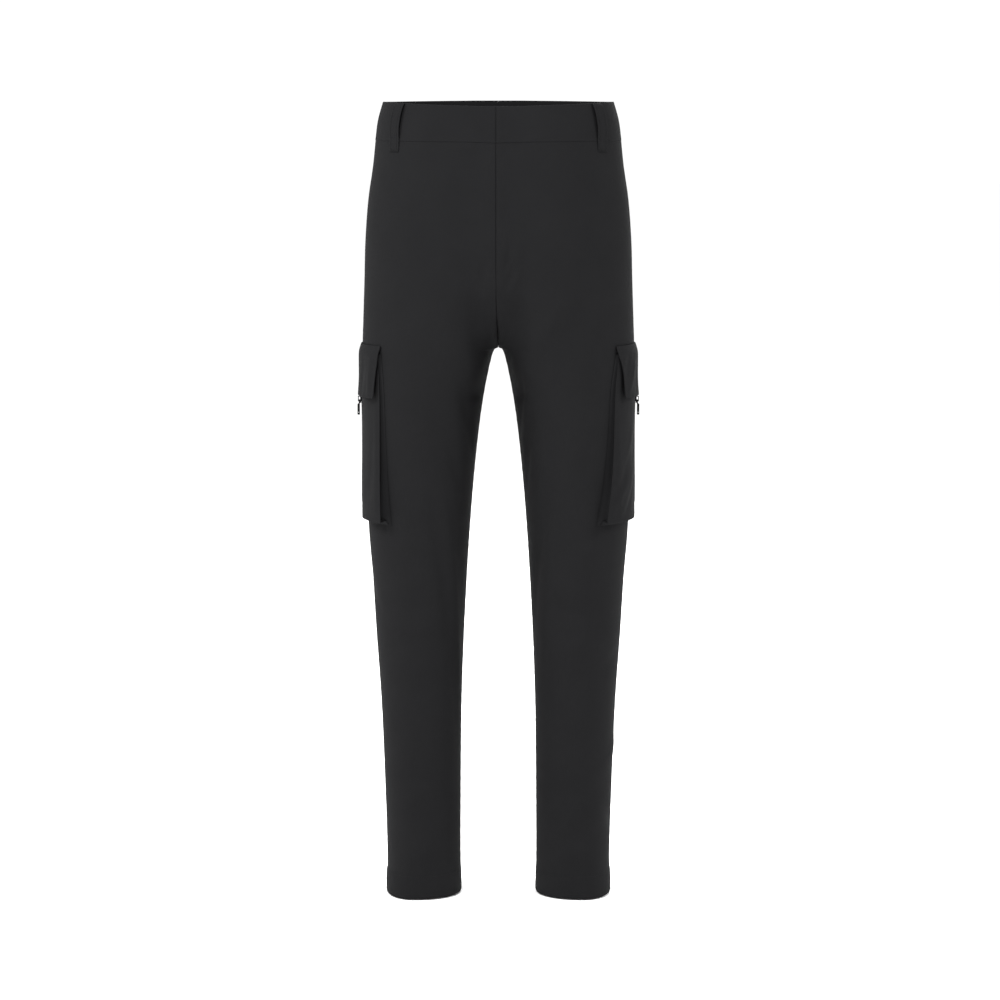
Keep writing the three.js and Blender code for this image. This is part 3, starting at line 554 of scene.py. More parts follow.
def centre_point(face, x, z, stand):
    """Places near the centre line of the front or back, by their x. They belong to neither half."""
    crest_x, crest_y = curve(BODY, face["x"], z), curve(BODY, face["y"], z)
    end_y = np.vectorize(lambda level: seam_end(face, 0, level)[1])(z)
    y = mix(crest_y, end_y, ease((-np.abs(x) - crest_x) / -crest_x))
    return np.stack(np.broadcast_arrays(x, y + face["way"] * stand, z), -1)


SHIELD = {"left": -38.0, "left_bottom": -22.0, "narrow_from": -160.0, "right": 14.0, "top": 14.0, "back": 3.6}
SHIELD_BAND = {"back": 4.7, "from": -46.0, "over": 20.0, "wall": 1.2}
FLY_TAPE = {"left": -17.0, "right": 11.0, "top": -50.0, "bottom": -200.0, "back": 1.9, "wall": 0.7}
FLY_TEETH = {"half": 2.6, "pitch": 1.6, "stand": -2.0}


def make_fly(finish, tape_finish, teeth_finish):
    z = np.linspace(SHIELD["top"], FLY["bottom"], 60)[:, None]
    narrow = ease((SHIELD["narrow_from"] - z) / (SHIELD["narrow_from"] - FLY["bottom"]))
    left = mix(SHIELD["left"], SHIELD["left_bottom"], narrow)
    x = mix(left, SHIELD["right"], np.linspace(0, 1, 16)[None, :])
    back = mix(SHIELD["back"], SHIELD_BAND["back"], ease((z - SHIELD_BAND["from"]) / SHIELD_BAND["over"]))
    z = z + 0 * x
    outer = centre_point(FRONT, x, z, -back)
    inner = centre_point(FRONT, x, z, -back - SHIELD_BAND["wall"])
    shield = finish_cloth(shell("fly_underlap", outer, inner, np.stack([x, z], -1)), finish)

    z = np.linspace(FLY_TAPE["top"], FLY_TAPE["bottom"], 50)[:, None]
    x = np.linspace(FLY_TAPE["left"], FLY_TAPE["right"], 12)[None, :]
    x, z = np.broadcast_arrays(x, z)
    outer = centre_point(FRONT, x, z, -FLY_TAPE["back"] - 0.55)
    inner = centre_point(FRONT, x, z, -FLY_TAPE["back"] - 0.55 - FLY_TAPE["wall"])
    tape = finish_cloth(shell("fly_zip_tape", outer, inner, np.stack([x, z], -1)), tape_finish)
    levels = np.arange(FLY_TAPE["top"] - 2, FLY_TAPE["bottom"] + 3, -0.5)
    line = centre_point(FRONT, FLY["x"] + 0 * levels, levels, FLY_TEETH["stand"])
    normals = np.tile([0.0, -1.0, 0.0], (len(levels), 1))
    teeth = make_teeth("fly_zip_teeth", line, normals, FLY_TEETH["half"], FLY_TEETH["pitch"], teeth_finish)
    return shield, tape, teeth


# Belt loops: a folded strap, off the band in its middle, sewn down at both ends.
LOOP = {"width": 18.0, "wall": 1.2, "back_extra": 1.8, "back_rise": 2.6, "free": 3.0, "flat": 0.7, "lean": 5.0}
LOOP_ROWS = table(
    "z stand",
    [
        (22.5, 0.9),
        (19, 3.6),
        (13, 5.1),
        (2, 5.4),
        (-10, 5.0),
        (-19, 3.4),
        (-25, 1.5),
        (-30.5, 1.0),
        (-34, 0.35),
        (-41, 0.35),
    ],
)
LOOP_PLACES = {"front": -86.0, "side": 96.0}
LOOP_STITCH = 3.2


def loop_layer(half, at, across, z, extra):
    """Places on a belt loop. The back loop has no half and lies on the centre line."""
    stand = curve(LOOP_ROWS, "stand", z)
    if half == 0:
        lift = LOOP["back_extra"] * ease((stand - LOOP["free"] + 1.6) / 1.6)
        return centre_point(BACK, across, z + LOOP["back_rise"], stand + lift + extra)
    # The loops of a half lie flatter, and their lower ends lean towards the front.
    down = (LOOP_ROWS["z"][-1] - z) / (LOOP_ROWS["z"][-1] - LOOP_ROWS["z"][0])
    return place(half, skin(half, at + across - LOOP["lean"] * down, z, LOOP["flat"] * stand + extra))


def make_belt_loop(name, half, at, finish):
    z = np.linspace(LOOP_ROWS["z"][-1], LOOP_ROWS["z"][0], 60)[:, None]
    width = LOOP["width"]
    across = np.concatenate([[0, 0.25, 0.7, 1.4], np.linspace(2.2, width - 2.2, 12), [width - 1.4, width - 0.7, width - 0.25, width]])
    from_side = np.minimum(across, width - across)[None, :]
    across = (across - width / 2)[None, :]
    groove = 0.18 * np.exp(-(((from_side - LOOP_STITCH) / 0.7) ** 2))
    puff = pucker(from_side, z, 1.0 + at / 40, 4.0, 0.05)
    outside = LOOP["wall"] - rounded(from_side, 0.6) - groove + puff
    inside = rounded(from_side, 0.3)
    across, z, outside, inside = np.broadcast_arrays(across, z, outside, inside)
    outer = loop_layer(half, at, across, z, outside)
    inner = loop_layer(half, at, across, z, inside)
    return finish_cloth(shell(name, outer, inner, np.stack([across, z], -1)), finish)


# Bellows pockets

POCKET = {"edge": 88.0, "foot": -536.0, "gap": 0.6, "wall": 1.0}
# How far a gusset's pleat folds inward, at most and as a share of the gusset's height.
PLEAT = {"side": 8.0, "side_share": 0.75, "foot": 6.0, "foot_share": 0.5}
POCKET_ROWS = table(
    "z middle edge spread_front spread_back",
    [
        (-308, 2.5, 3.2, 3, 3),
        (-340, 2.8, 4.6, 3, 3.2),
        (-357, 2.9, 5.2, 3, 3.5),
        (-360, 2.9, 5.3, 3, 3.6),
        (-400, 3.2, 7.0, 3, 4.2),
        (-440, 4.4, 9.2, 3, 5),
        (-480, 6.2, 12.4, 3, 6),
        (-513, 7.4, 15.4, 3.2, 7),
        (-516, 7.6, 15.6, 3.3, 7),
        (-531, 8.2, 16.8, 3.6, 7.5),
    ],
)
# The two pockets and flaps hang unevenly: how far forward each reaches, as a share of its edge.
POCKET_REACH = table(
    "z right left",
    [
        (-308, 1.0, 1.0),
        (-350, 1.05, 1.09),
        (-440, 1.04, 1.11),
        (-531, 1.02, 1.16),
    ],
)
FLAP_REACH = table(
    "z right left",
    [
        (-297, 1.0, 1.0),
        (-308, 1.0, 1.0),
        (-322, 0.995, 0.95),
        (-338, 0.98, 0.925),
        (-366, 0.965, 0.925),
    ],
)
ZIP = {"top": -358.5, "bottom": -514.5, "trough_half": 4.4, "trough": 1.2, "lip": 0.9}
POCKET_CREASES = [
    (LEFT, -44, -424, 66, 32, 6, 1.0),
    (LEFT, -30, -436, 60, 30, 5, -0.9),
    (LEFT, -60, -462, 58, 36, 6, -1.5),
    (LEFT, -42, -478, 62, 34, 6, 1.4),
    (LEFT, -66, -492, 50, 26, 5, 1.5),
    (LEFT, -50, -508, 56, 24, 5, -1.3),
    (LEFT, -30, -452, 70, 30, 6, -0.9),
    (LEFT, -76, -440, 96, 60, 4, 1.0),
    (LEFT, 44, -450, 112, 36, 8, -1.0),
    (LEFT, 60, -492, 118, 34, 8, 1.1),
    (LEFT, 36, -508, 104, 24, 7, 0.8),
    (RIGHT, -79, -440, 90, 80, 4, 1.1),
    (RIGHT, -66, -470, 96, 60, 5, -0.8),
    (RIGHT, -52, -500, 112, 30, 8, -0.8),
    (RIGHT, -34, -470, 84, 40, 8, 0.6),
    (RIGHT, 48, -470, 70, 38, 9, -0.9),
    (RIGHT, 62, -504, 60, 28, 8, 0.9),
    (RIGHT, 34, -430, 100, 30, 8, 0.5),
]


def reached(rows, half, along, z):
    """A distance from the side seam, stretched in front to the reach of the half's pocket or flap."""
    share = curve(rows, "right" if half < 0 else "left", z)
    return np.where(along < 0, along * share, along)


def stand_off(rows, edge, z, along):
    return mix(curve(rows, "middle", z), curve(rows, "edge", z), (along / edge) ** 2)


def pocket_stand(half, along, z):
    """The height of a pocket's face off the leg, with its creases and the trough for the zip."""
    deep = 1 - ease((np.abs(along) - ZIP["trough_half"] + ZIP["lip"]) / ZIP["lip"])
    ends = ease((ZIP["top"] - z) / ZIP["lip"]) * ease((z - ZIP["bottom"]) / ZIP["lip"])
    to_edge = POCKET["edge"] - np.abs(along)
    creases = swells(POCKET_CREASES, half, along, z) * ease(to_edge / 10) * ease((np.abs(along) - 7) / 10)
    hem_fade = ease((z - POCKET_ROWS["z"][0]) / 12)
    stitched = 0.22 * np.exp(-(((to_edge - 6) / 0.9) ** 2)) + 0.22 * np.exp(-(((np.abs(along) - 7) / 0.8) ** 2)) * ends
    puff = pucker(to_edge - 6, z, 2.2 + half, 5.0, 0.07) + pucker(np.abs(along) - 7, z, 1.2 - half, 4.0, 0.05)
    return stand_off(POCKET_ROWS, POCKET["edge"], z, along) - ZIP["trough"] * deep * ends + creases * hem_fade + puff - stitched


def soften(grid, rounds):
    """Rounds a grid's folds by moving each inner value towards its neighbours."""
    for _ in range(rounds):
        grid[:, 1:-1] = 0.5 * grid[:, 1:-1] + 0.25 * (grid[:, :-2] + grid[:, 2:])
        grid[1:-1] = 0.5 * grid[1:-1] + 0.25 * (grid[:-2] + grid[2:])
    return grid


POCKET_COLUMNS = np.concatenate(
    [
        [-88, -87.5, -87, -86.4, -85.6],
        np.linspace(-84.5, -6.2, 42),
        np.linspace(-5.6, -3.2, 9),
        [-1.8, 0, 1.8],
        np.linspace(3.2, 5.6, 9),
        np.linspace(6.2, 84.5, 42),
        [85.6, 86.4, 87, 87.5, 88],
    ]
)
POCKET_LEVELS = np.concatenate(
    [
        np.linspace(-308, -356, 17),
        np.linspace(-357.6, -360.4, 8),
        np.linspace(-362.5, -511, 60),
        np.linspace(-512.6, -515.6, 8),
        np.linspace(-517, -528.6, 6),
        [-529.6, -530.2, -530.6, -531],
    ]
)
GUSSET = np.linspace(0, 1, 12)[:-1]


def pocket_layer(half, depth):
    """The whole pocket as one bent sheet: its face between four folded edges, and the gussets down to the leg."""
    edge = POCKET["edge"] - depth
    columns = np.clip(POCKET_COLUMNS, -edge, edge)[None, :]
    levels = POCKET_LEVELS.copy()
    levels[-1] += depth
    z = levels[:, None]
    face = pocket_stand(half, columns, z) - depth
    sides = []
    for column, way, spread in ((0, -1, "spread_front"), (-1, 1, "spread_back")):
        top = face[:, column : column + 1 or None]
        t = GUSSET[None, :]
        pleat = np.minimum(PLEAT["side"], PLEAT["side_share"] * top) * np.sin(np.pi * t) ** 0.8
        along = way * (edge + curve(POCKET_ROWS, spread, z) * (1 - t) - pleat)
        sides.append((along, mix(POCKET["gap"], top, t)))
    (front_along, front_stand), (back_along, back_stand) = sides
    along = np.concatenate([front_along, columns + 0 * z, np.flip(back_along, 1)], 1)
    stand = np.concatenate([front_stand, face, np.flip(back_stand, 1)], 1)
    z = z + 0 * along
    t = np.flip(GUSSET)[:, None]
    foot = POCKET["foot"] + 1.3 * depth
    pleat = np.minimum(PLEAT["foot"], PLEAT["foot_share"] * stand[-1:]) * np.sin(np.pi * t) ** 0.8
    under_z = mix(foot, z[-1:], t) + pleat
    under_stand = mix(POCKET["gap"], stand[-1:], t)
    along = np.concatenate([along, np.repeat(along[-1:], len(t), 0)])
    stand = np.concatenate([stand, under_stand])
    z = np.concatenate([z, under_z])
    soft = [soften(layer.copy(), 3) for layer in (along, z, stand)]
    soft[0] = reached(POCKET_REACH, half, soft[0], soft[1])
    return soft


def make_pocket(name, half, finish):
    outer, inner = pocket_layer(half, 0.0), pocket_layer(half, POCKET["wall"])
    shells = [place(half, skin(half, *layer)) for layer in (outer, inner)]
    return finish_cloth(shell(name, *shells, np.stack(outer[:2], -1)), finish)


FLAP = {"edge": 90.0, "wall": 1.5, "corner": 4.0, "top": -297.0, "bottom": -366.0, "stitch": 6.0}
FLAP_ROWS = table(
    "z middle edge",
    [
        (-297, 1.9, 1.9),
        (-301, 3.2, 3.4),
        (-308, 5.0, 5.9),
        (-322, 5.5, 7.6),
        (-338, 5.8, 9.4),
        (-354, 6.8, 11.2),
        (-366, 8.0, 12.8),
    ],
)
FLAP_CREASES = [
    (LEFT, -60, -336, 50, 26, 6, 1.6),
    (LEFT, -76, -326, 58, 20, 5, -1.2),
    (LEFT, -40, -346, 60, 22, 6, -1.1),
    (LEFT, 40, -340, 120, 28, 9, -0.9),
    (RIGHT, -50, -342, 100, 26, 8, -1.2),
    (RIGHT, -76, -340, 84, 26, 6, 1.4),
    (RIGHT, 56, -334, 64, 26, 8, 0.9),
    (RIGHT, 10, -350, 80, 22, 9, 0.6),
]


def flap_layer(half, along, z, depth, from_edge):
    stand = stand_off(FLAP_ROWS, FLAP["edge"], z, along)
    stand = stand + swells(FLAP_CREASES, half, along, z) * ease((FLAP["top"] - 4 - z) / 12)
    groove = 0.25 * np.exp(-(((from_edge - FLAP["stitch"]) / 0.9) ** 2))
    puff = pucker(from_edge - FLAP["stitch"], along + z, 1.4 + half, 5.0, 0.07)
    return place(half, skin(half, reached(FLAP_REACH, half, along, z), z, stand + puff - groove - depth))


def make_flap(name, half, finish):
    edge, corner = FLAP["edge"], FLAP["corner"]
    side = np.concatenate([[0, 0.2, 0.6, 1.1, 1.8, 2.8, 4.0], np.linspace(5.2, 80, 34)])
    along = np.concatenate([side - edge, np.linspace(-7.5, 7.5, 7), np.flip(edge - side)])[None, :]
    t = np.concatenate([np.linspace(0, 0.93, 26), [0.955, 0.972, 0.985, 0.994, 1.0]])[:, None]
    past = np.maximum(np.abs(along) - (edge - corner), 0)
    lift = corner - np.sqrt(np.maximum(corner**2 - past**2, 0))
    bottom = FLAP["bottom"] + lift * 0.7
    z = mix(FLAP["top"], bottom, t)
    along = along + 0 * z
    from_edge = np.minimum(edge - np.abs(along), z - bottom)
    outer = flap_layer(half, along, z, rounded(from_edge, 0.7), from_edge)
    inner = flap_layer(half, along, z, FLAP["wall"] - rounded(from_edge, 0.6), from_edge)
    return finish_cloth(shell(name, outer, inner, np.stack([along, z], -1)), finish)


# Zips

TEETH = {"sides": 8, "thick": 0.42}
POCKET_ZIP = {"half": 2.5, "pitch": 1.5, "tape_half": 4.2, "tape_wall": 0.55, "tape_stand": -1.0, "teeth_stand": -0.45}


def tube_mesh(name, centres, sides_of, normals, radii):
    """Many short closed tubes in one mesh. centres, sides_of, normals and radii have a row for each tube."""
    count, rings = centres.shape[:2]
    sides = TEETH["sides"]
    turn = 2 * math.pi * np.arange(sides) / sides
    ring = (
        sides_of[:, :, None, :] * np.cos(turn)[None, None, :, None]
        + normals[:, :, None, :] * np.sin(turn)[None, None, :, None]
    )
    vertices = (centres[:, :, None, :] + ring * radii[None, :, None, None]).reshape(-1, 3)
    first = (np.arange(count) * rings * sides)[:, None]
    faces = []
    for r in range(rings - 1):
        for s in range(sides):
            a, b = r * sides + s, r * sides + (s + 1) % sides
            faces.append(first + np.array([[a, b, b + sides, a + sides]]))
    faces = np.concatenate(faces).tolist()
    ends = [np.arange(sides)[::-1], np.arange(sides) + (rings - 1) * sides]
    for end in ends:
        faces += (first + end[None, :]).tolist()
    return new_object(name, vertices, faces)


def line_frame(points):
    along = np.gradient(points, axis=0)
    return along / np.linalg.norm(along, axis=-1, keepdims=True)


def sample(line, normals, distances):
    """Places and normals at distances along a line of points."""
    arc = np.concatenate([[0], np.cumsum(np.linalg.norm(np.diff(line, axis=0), axis=1))])
    at = np.stack([np.interp(distances, arc, line[:, k]) for k in range(3)], -1)
    up = np.stack([np.interp(distances, arc, normals[:, k]) for k in range(3)], -1)
    return at, up / np.linalg.norm(up, axis=-1, keepdims=True)


def line_length(line):
    return np.linalg.norm(np.diff(line, axis=0), axis=1).sum()


def make_teeth(name, line, normals, half_width, pitch, finish):
    """A moulded coil: on each side of the line short loops that meet in the middle, turn about."""
    count = int(line_length(line) / pitch)
    places, out = sample(line, normals, (np.arange(count) + 0.5) * pitch)
    run = line_frame(places)
    across = np.cross(run, out)
    reach = np.array([-0.28, 0.1, 0.5, 0.85, 1.0]) * half_width
    lift = np.array([0.0, 0.28, 0.3, 0.1, -0.25])
    radii = TEETH["thick"] * np.array([0.75, 1.0, 1.0, 0.95, 0.6])
    centres, side_of, normal_of = [], [], []
    for way, offset in ((1, -0.25), (-1, 0.25)):
        middle = places + run * pitch * offset
        centres.append(
            middle[:, None, :] + way * across[:, None, :] * reach[None, :, None] + out[:, None, :] * lift[None, :, None]
        )
        side_of.append(np.repeat(run[:, None, :] * -way, len(reach), 1))
        normal_of.append(np.repeat(out[:, None, :], len(reach), 1))
    made = tube_mesh(name, *[np.concatenate(part) for part in (centres, side_of, normal_of)], radii)
    return finish_cloth(made, finish, angle=60)


def garment_line(half, along, z, stand):
    """A line on the garment and its outward normals."""
    points = skin(half, along, z, stand)
    out = skin(half, along, z, np.asarray(stand) + 1) - points
    out = out / np.linalg.norm(out, axis=-1, keepdims=True)
    return place(half, points), place(half, out)


def make_pocket_zip(side, half, tape_finish, teeth_finish):
    z = np.linspace(ZIP["top"] - 0.9, ZIP["bottom"] + 0.9, 80)[:, None]
    wide = POCKET_ZIP["tape_half"]
    along = np.linspace(-wide, wide, 10)[None, :]
    along, z = np.broadcast_arrays(along, z)
    floor = stand_off(POCKET_ROWS, POCKET["edge"], z, along) + POCKET_ZIP["tape_stand"]
    outer = place(half, skin(half, along, z, floor + POCKET_ZIP["tape_wall"]))
    inner = place(half, skin(half, along, z, floor))
    tape = shell(f"pocket_zip_tape_{side}", outer, inner, np.stack([along, z], -1))
    finish_cloth(tape, tape_finish)
    levels = np.arange(ZIP["top"] - 1.5, ZIP["bottom"] + 1.5, -0.5)
    stand = stand_off(POCKET_ROWS, POCKET["edge"], levels, 0 * levels) + POCKET_ZIP["teeth_stand"] + 0.45
    line, normals = garment_line(half, 0 * levels, levels, stand)
    name = f"pocket_zip_teeth_{side}"
    teeth = make_teeth(name, line, normals, POCKET_ZIP["half"], POCKET_ZIP["pitch"], teeth_finish)
    return tape, teeth


# Stitches

THREAD = {"pitch": 2.9, "length": 2.2, "thick": 0.17}


def make_stitches(name, lines, finish, pitch=THREAD["pitch"], length=THREAD["length"]):
    """Lines of sewing: short threads that dip into the cloth at both ends."""
    t = np.array([0, 0.12, 0.5, 0.88, 1.0])
    lift = np.array([-0.2, 0.0, 0.07, 0.0, -0.2])
    radii = THREAD["thick"] * np.array([0.7, 1, 1, 1, 0.7])
    centres, sides, outs = [], [], []
    for line, normals in lines:
        count = max(1, int(line_length(line) / pitch))
        start = (np.arange(count) + 0.5) * pitch - length / 2
        at, out = sample(line, normals, (start[:, None] + t[None, :] * length).ravel())
        at, out = at.reshape(count, -1, 3), out.reshape(count, -1, 3)
        run = at[:, -1:] - at[:, :1]
        run = run / np.linalg.norm(run, axis=-1, keepdims=True)
        centres.append(at + out * lift[None, :, None])
        sides.append(np.cross(out, run + 0 * at))
        outs.append(out)
    made = tube_mesh(name, *[np.concatenate(part) for part in (centres, sides, outs)], radii)
    return finish_cloth(made, finish, angle=60)


# Slider and pull, drawn with x across the zip, y up it and z out from the pocket, in millimetres.

SLIDER = {"z": -373.0, "plate": 1.3, "lift": 0.45, "proud": 0.4}
SLIDER_HALF = {"top": 2.6, "shoulder": 3.6, "bottom": 2.4, "length": 5.0}
BRIDGE = {"half": 1.0, "foot": 0.3, "low": -3.2, "high": 4.2, "thick": 1.1, "window_out": 3.3, "out": 4.4}
PULL = {
    "out": 2.3,
    "wall": 1.7,
    "bar_top": -0.55,
    "bar_bottom": -1.45,
    "half": 3.0,
    "leg_inside": 1.9,
    "ring_bottom": -4.6,
    "shoulder": -5.6,
}
# The tab's side view: steps down it, with its inner and outer face off the pocket.
TAB = {"half": 1.7, "inner": 1.8, "outer": 5.0, "neck": -4.9, "slope": 1.8, "end": -21.0}
EYE = {"y": -17.8, "radius": 0.6}


def select_only(piece):
    bpy.ops.object.select_all(action="DESELECT")
    piece.select_set(True)
    bpy.context.view_layer.objects.active = piece


def add_block(name, low, high):
    """A cube primitive between two corners in millimetres, with its place and size in its mesh."""
    low, high = Vector(low) * MM, Vector(high) * MM
    bpy.ops.object.select_all(action="DESELECT")
    bpy.ops.mesh.primitive_cube_add(size=1, location=(low + high) / 2, scale=high - low)
    piece = bpy.context.object
    piece.name = name
    bpy.ops.object.transform_apply(location=True, rotation=True, scale=True)
    return piece


def pick_faces(piece, test):
    """Selects the faces whose centre in millimetres passes a test, in edit mode."""
    bpy.ops.mesh.select_mode(type="FACE")
    bpy.ops.mesh.select_all(action="DESELECT")
    bm = bmesh.from_edit_mesh(piece.data)
    for face in bm.faces:
        face.select_set(bool(test(face.calc_center_median() / MM, face.normal)))
    bmesh.update_edit_mesh(piece.data)


def push(piece, test, offset, scale=(1, 1, 1)):
    """Extrudes the faces that pass a test by an offset in millimetres and then scales the new ends."""
    pick_faces(piece, test)
    bpy.ops.mesh.extrude_region_move(TRANSFORM_OT_translate={"value": Vector(offset) * MM})
    bpy.ops.transform.resize(value=scale)


def bevel_all(piece, width, segments=3, angle=30):
    modifier = piece.modifiers.new("edges", "BEVEL")
    modifier.width = width * MM
    modifier.segments = segments
    modifier.limit_method = "ANGLE"
    modifier.angle_limit = math.radians(angle)
    select_only(piece)
    bpy.ops.object.modifier_apply(modifier=modifier.name)


def join_to(piece, others):
    select_only(piece)
    for other in others:
        other.select_set(True)
    bpy.ops.object.join()
    return piece


def model_slider(name):
    """The slider's waisted top plate with turned-down flanges, and the arched bridge over it."""
    half, length = SLIDER_HALF, SLIDER_HALF["length"]
    plate = add_block(name, (-half["top"], length - 0.4, 0), (half["top"], length, SLIDER["plate"]))
    bpy.ops.object.mode_set(mode="EDIT")
    back = lambda centre, normal: normal.y < -0.9
    steps = [(1.4, half["shoulder"]), (3.2, half["shoulder"] - 0.15), (3.0, half["bottom"] + 0.3), (2.0, half["bottom"])]
    width = half["top"]
    for run, wanted in steps:
        push(plate, back, (0, -run, 0), (wanted / width, 1, 1))
        width = wanted
    bpy.ops.object.mode_set(mode="OBJECT")
    bevel_all(plate, 0.32)
    flanges = []
    for way in (-1, 1):
        x0, x1 = sorted((way * (half["bottom"] - 0.1), way * (half["shoulder"] - 0.35)))
        flange = add_block("flange", (x0, -2.6, -0.75), (x1, 3.0, SLIDER["plate"] * 0.6))
        bevel_all(flange, 0.25)
        flanges.append(flange)
    low, high, thick = BRIDGE["low"], BRIDGE["high"], BRIDGE["thick"]
    wide, out, window = BRIDGE["half"], BRIDGE["out"], BRIDGE["window_out"]
    bridge = add_block("bridge", (-wide, low, BRIDGE["foot"]), (wide, low + thick, window))
    bpy.ops.object.mode_set(mode="EDIT")
    push(bridge, lambda c, n: n.z > 0.9, (0, 0, out - window))
    push(bridge, lambda c, n: n.y > 0.9 and c.z > window, (0, high - low - 2 * thick, 0))
    push(bridge, lambda c, n: n.y > 0.9 and c.z > window, (0, thick, 0))
    push(bridge, lambda c, n: n.z < -0.9 and c.y > high - thick, (0, 0, BRIDGE["foot"] - window))
    bpy.ops.object.mode_set(mode="OBJECT")
    bevel_all(bridge, 0.38, segments=4)
    return join_to(plate, flanges + [bridge])


def model_pull(name):
    """The pull: a ring whose top bar lies in the bridge, and a thick tab with a round eye through its sides."""
    z0, z1 = PULL["out"] - PULL["wall"] / 2, PULL["out"] + PULL["wall"] / 2
    half, inside = PULL["half"], PULL["leg_inside"]
    ring = add_block(name, (-inside, PULL["bar_bottom"], z0), (inside, PULL["bar_top"], z1))
    bpy.ops.object.mode_set(mode="EDIT")
    for way in (-1, 1):
        push(ring, lambda c, n: n.x * way > 0.9 and c.x * way > inside - 0.1, (way * (half - inside), 0, 0))
        is_leg = lambda c, n: n.y < -0.9 and c.x * way > inside
        push(ring, is_leg, (0, PULL["ring_bottom"] - PULL["bar_bottom"], 0))
        push(ring, is_leg, (0, PULL["shoulder"] - PULL["ring_bottom"], 0))
    bpy.ops.object.mode_set(mode="OBJECT")
    bevel_all(ring, 0.3)
    foot = add_block("foot", (-inside - 0.2, PULL["shoulder"], z0), (inside + 0.2, PULL["ring_bottom"], z1))
    bevel_all(foot, 0.2)
    wide, top = TAB["half"], TAB["neck"] - TAB["slope"]
    tab = add_block("tab", (-wide, TAB["end"], TAB["inner"]), (wide, top, TAB["outer"]))
    bpy.ops.object.mode_set(mode="EDIT")
    up = lambda c, n: n.y > 0.9
    push(tab, up, (0, TAB["slope"], TAB["inner"] + 0.5 - (TAB["inner"] + TAB["outer"]) / 2), (1, 1, 1 / 3.2))
    bpy.ops.object.mode_set(mode="OBJECT")
    bevel_all(tab, 0.75, segments=5)
    bpy.ops.object.select_all(action="DESELECT")
    bpy.ops.mesh.primitive_cylinder_add(
        vertices=24,
        radius=EYE["radius"] * MM,
        depth=3 * wide * MM,
        location=(0, EYE["y"] * MM, (TAB["inner"] + TAB["outer"]) / 2 * MM),
        rotation=(0, math.radians(90), 0),
    )
    cutter = bpy.context.object
    cut = tab.modifiers.new("eye", "BOOLEAN")
    cut.operation = "DIFFERENCE"
    cut.object = cutter
    select_only(tab)
    bpy.ops.object.modifier_apply(modifier=cut.name)
    bpy.data.objects.remove(cutter)
    return join_to(ring, [foot, tab])


def seat_metal(piece, half, body_name, finish):
    """Moves a drawn metal piece onto the zip of one pocket, in its mesh."""
    stand = float(stand_off(POCKET_ROWS, POCKET["edge"], SLIDER["z"], 0.0)) + SLIDER["proud"] + SLIDER["lift"]
    at = place(half, skin(half, 0.0, SLIDER["z"], stand)) * MM
    out, up = Vector((half, 0, 0)), Vector((0, 0, 1))
    turn = Matrix((up.cross(out), up, out)).transposed().to_4x4()
    piece.data.transform(Matrix.Translation(Vector(at)) @ turn)
    piece.data.update()
    return finish_cloth(piece, finish, body_name, angle=35)


# Materials


def hex_colour(code):
    """An sRGB hex value as linear red, green, blue and alpha."""
    parts = [int(code[i : i + 2], 16) / 255 for i in (1, 3, 5)]
    linear = [v / 12.92 if v <= 0.04045 else ((v + 0.055) / 1.055) ** 2.4 for v in parts]
    return (*linear, 1.0)


def add_node(material, kind, inputs=(), **settings):
    """Adds a node, sets its own settings, and fills or links its inputs by name or number."""
    made = material.node_tree.nodes.new(kind)
    for key, value in settings.items():
        setattr(made, key, value)
    for key, value in dict(inputs).items():
        if isinstance(value, bpy.types.NodeSocket):
            material.node_tree.links.new(value, made.inputs[key])
        else:
            made.inputs[key].default_value = value
    return made


def new_material(name):
    material = bpy.data.materials.new(name)
    material.use_nodes = True
    material.node_tree.nodes.clear()
    return material


def finish_material(material, **inputs):
    """The shader and the output, with each input given by its socket's name with _ for a blank."""
    named = {key.replace("_", " "): value for key, value in inputs.items()}
    shader = add_node(material, "ShaderNodeBsdfPrincipled", named)
    add_node(material, "ShaderNodeOutputMaterial", {"Surface": shader.outputs[0]})
    return material


def mixed(material, amount, first, second):
    """A colour between two others, each a colour or another node's output."""
    node = add_node(material, "ShaderNodeMix", {0: amount, 6: first, 7: second}, data_type="RGBA")
    return node.outputs[2]


def sized(material, node_output, low, high):
    """A 0 to 1 output stretched to run from low to high."""
    inputs = {0: node_output, 3: low, 4: high}
    return add_node(material, "ShaderNodeMapRange", inputs).outputs[0]


CLOTH_DARK, CLOTH_LIGHT = hex_colour("#111112"), hex_colour("#161617")


def twill(name, wale_mm, lean, dark, light, strength):
    """A twill weave on a cloth's own UV, as a material with its rib, its height and its uneven colour. The rib's tops
    are also lighter and its valleys darker in colour: painted shade in the weave's valleys.
    """
    m = new_material(name)
    uv = add_node(m, "ShaderNodeUVMap", uv_map="cloth").outputs[0]
    turn = (0, 0, math.radians(lean))
    turned = add_node(m, "ShaderNodeMapping", {"Vector": uv, "Rotation": turn}).outputs[0]
    wave = {"Vector": turned, "Scale": math.pi / 10 / (wale_mm * MM), "Distortion": 0.5, "Detail": 1.0}
    wale = add_node(m, "ShaderNodeTexWave", wave, bands_direction="X").outputs["Fac"]
    place_of = add_node(m, "ShaderNodeTexCoord").outputs["Object"]
    cloud = add_node(m, "ShaderNodeTexNoise", {"Vector": place_of, "Scale": 24.0, "Detail": 4.0}).outputs["Fac"]
    slub = add_node(m, "ShaderNodeTexNoise", {"Vector": place_of, "Scale": 1100.0, "Detail": 2.0}).outputs["Fac"]
    worn = mixed(m, sized(m, cloud, 0.0, 0.7), dark, light)
    # The colour follows the rib's height, lighter on its tops and darker in its valleys: painted shade, added to the
    # bump's own.
    colour = mixed(m, sized(m, wale, 0.0, 0.4), worn, light)
    height = add_node(m, "ShaderNodeMath", {0: wale, 1: slub}, operation="ADD").outputs[0]
    inputs = {"Strength": strength, "Distance": 0.1 * MM, "Height": height}
    return m, colour, add_node(m, "ShaderNodeBump", inputs).outputs[0]


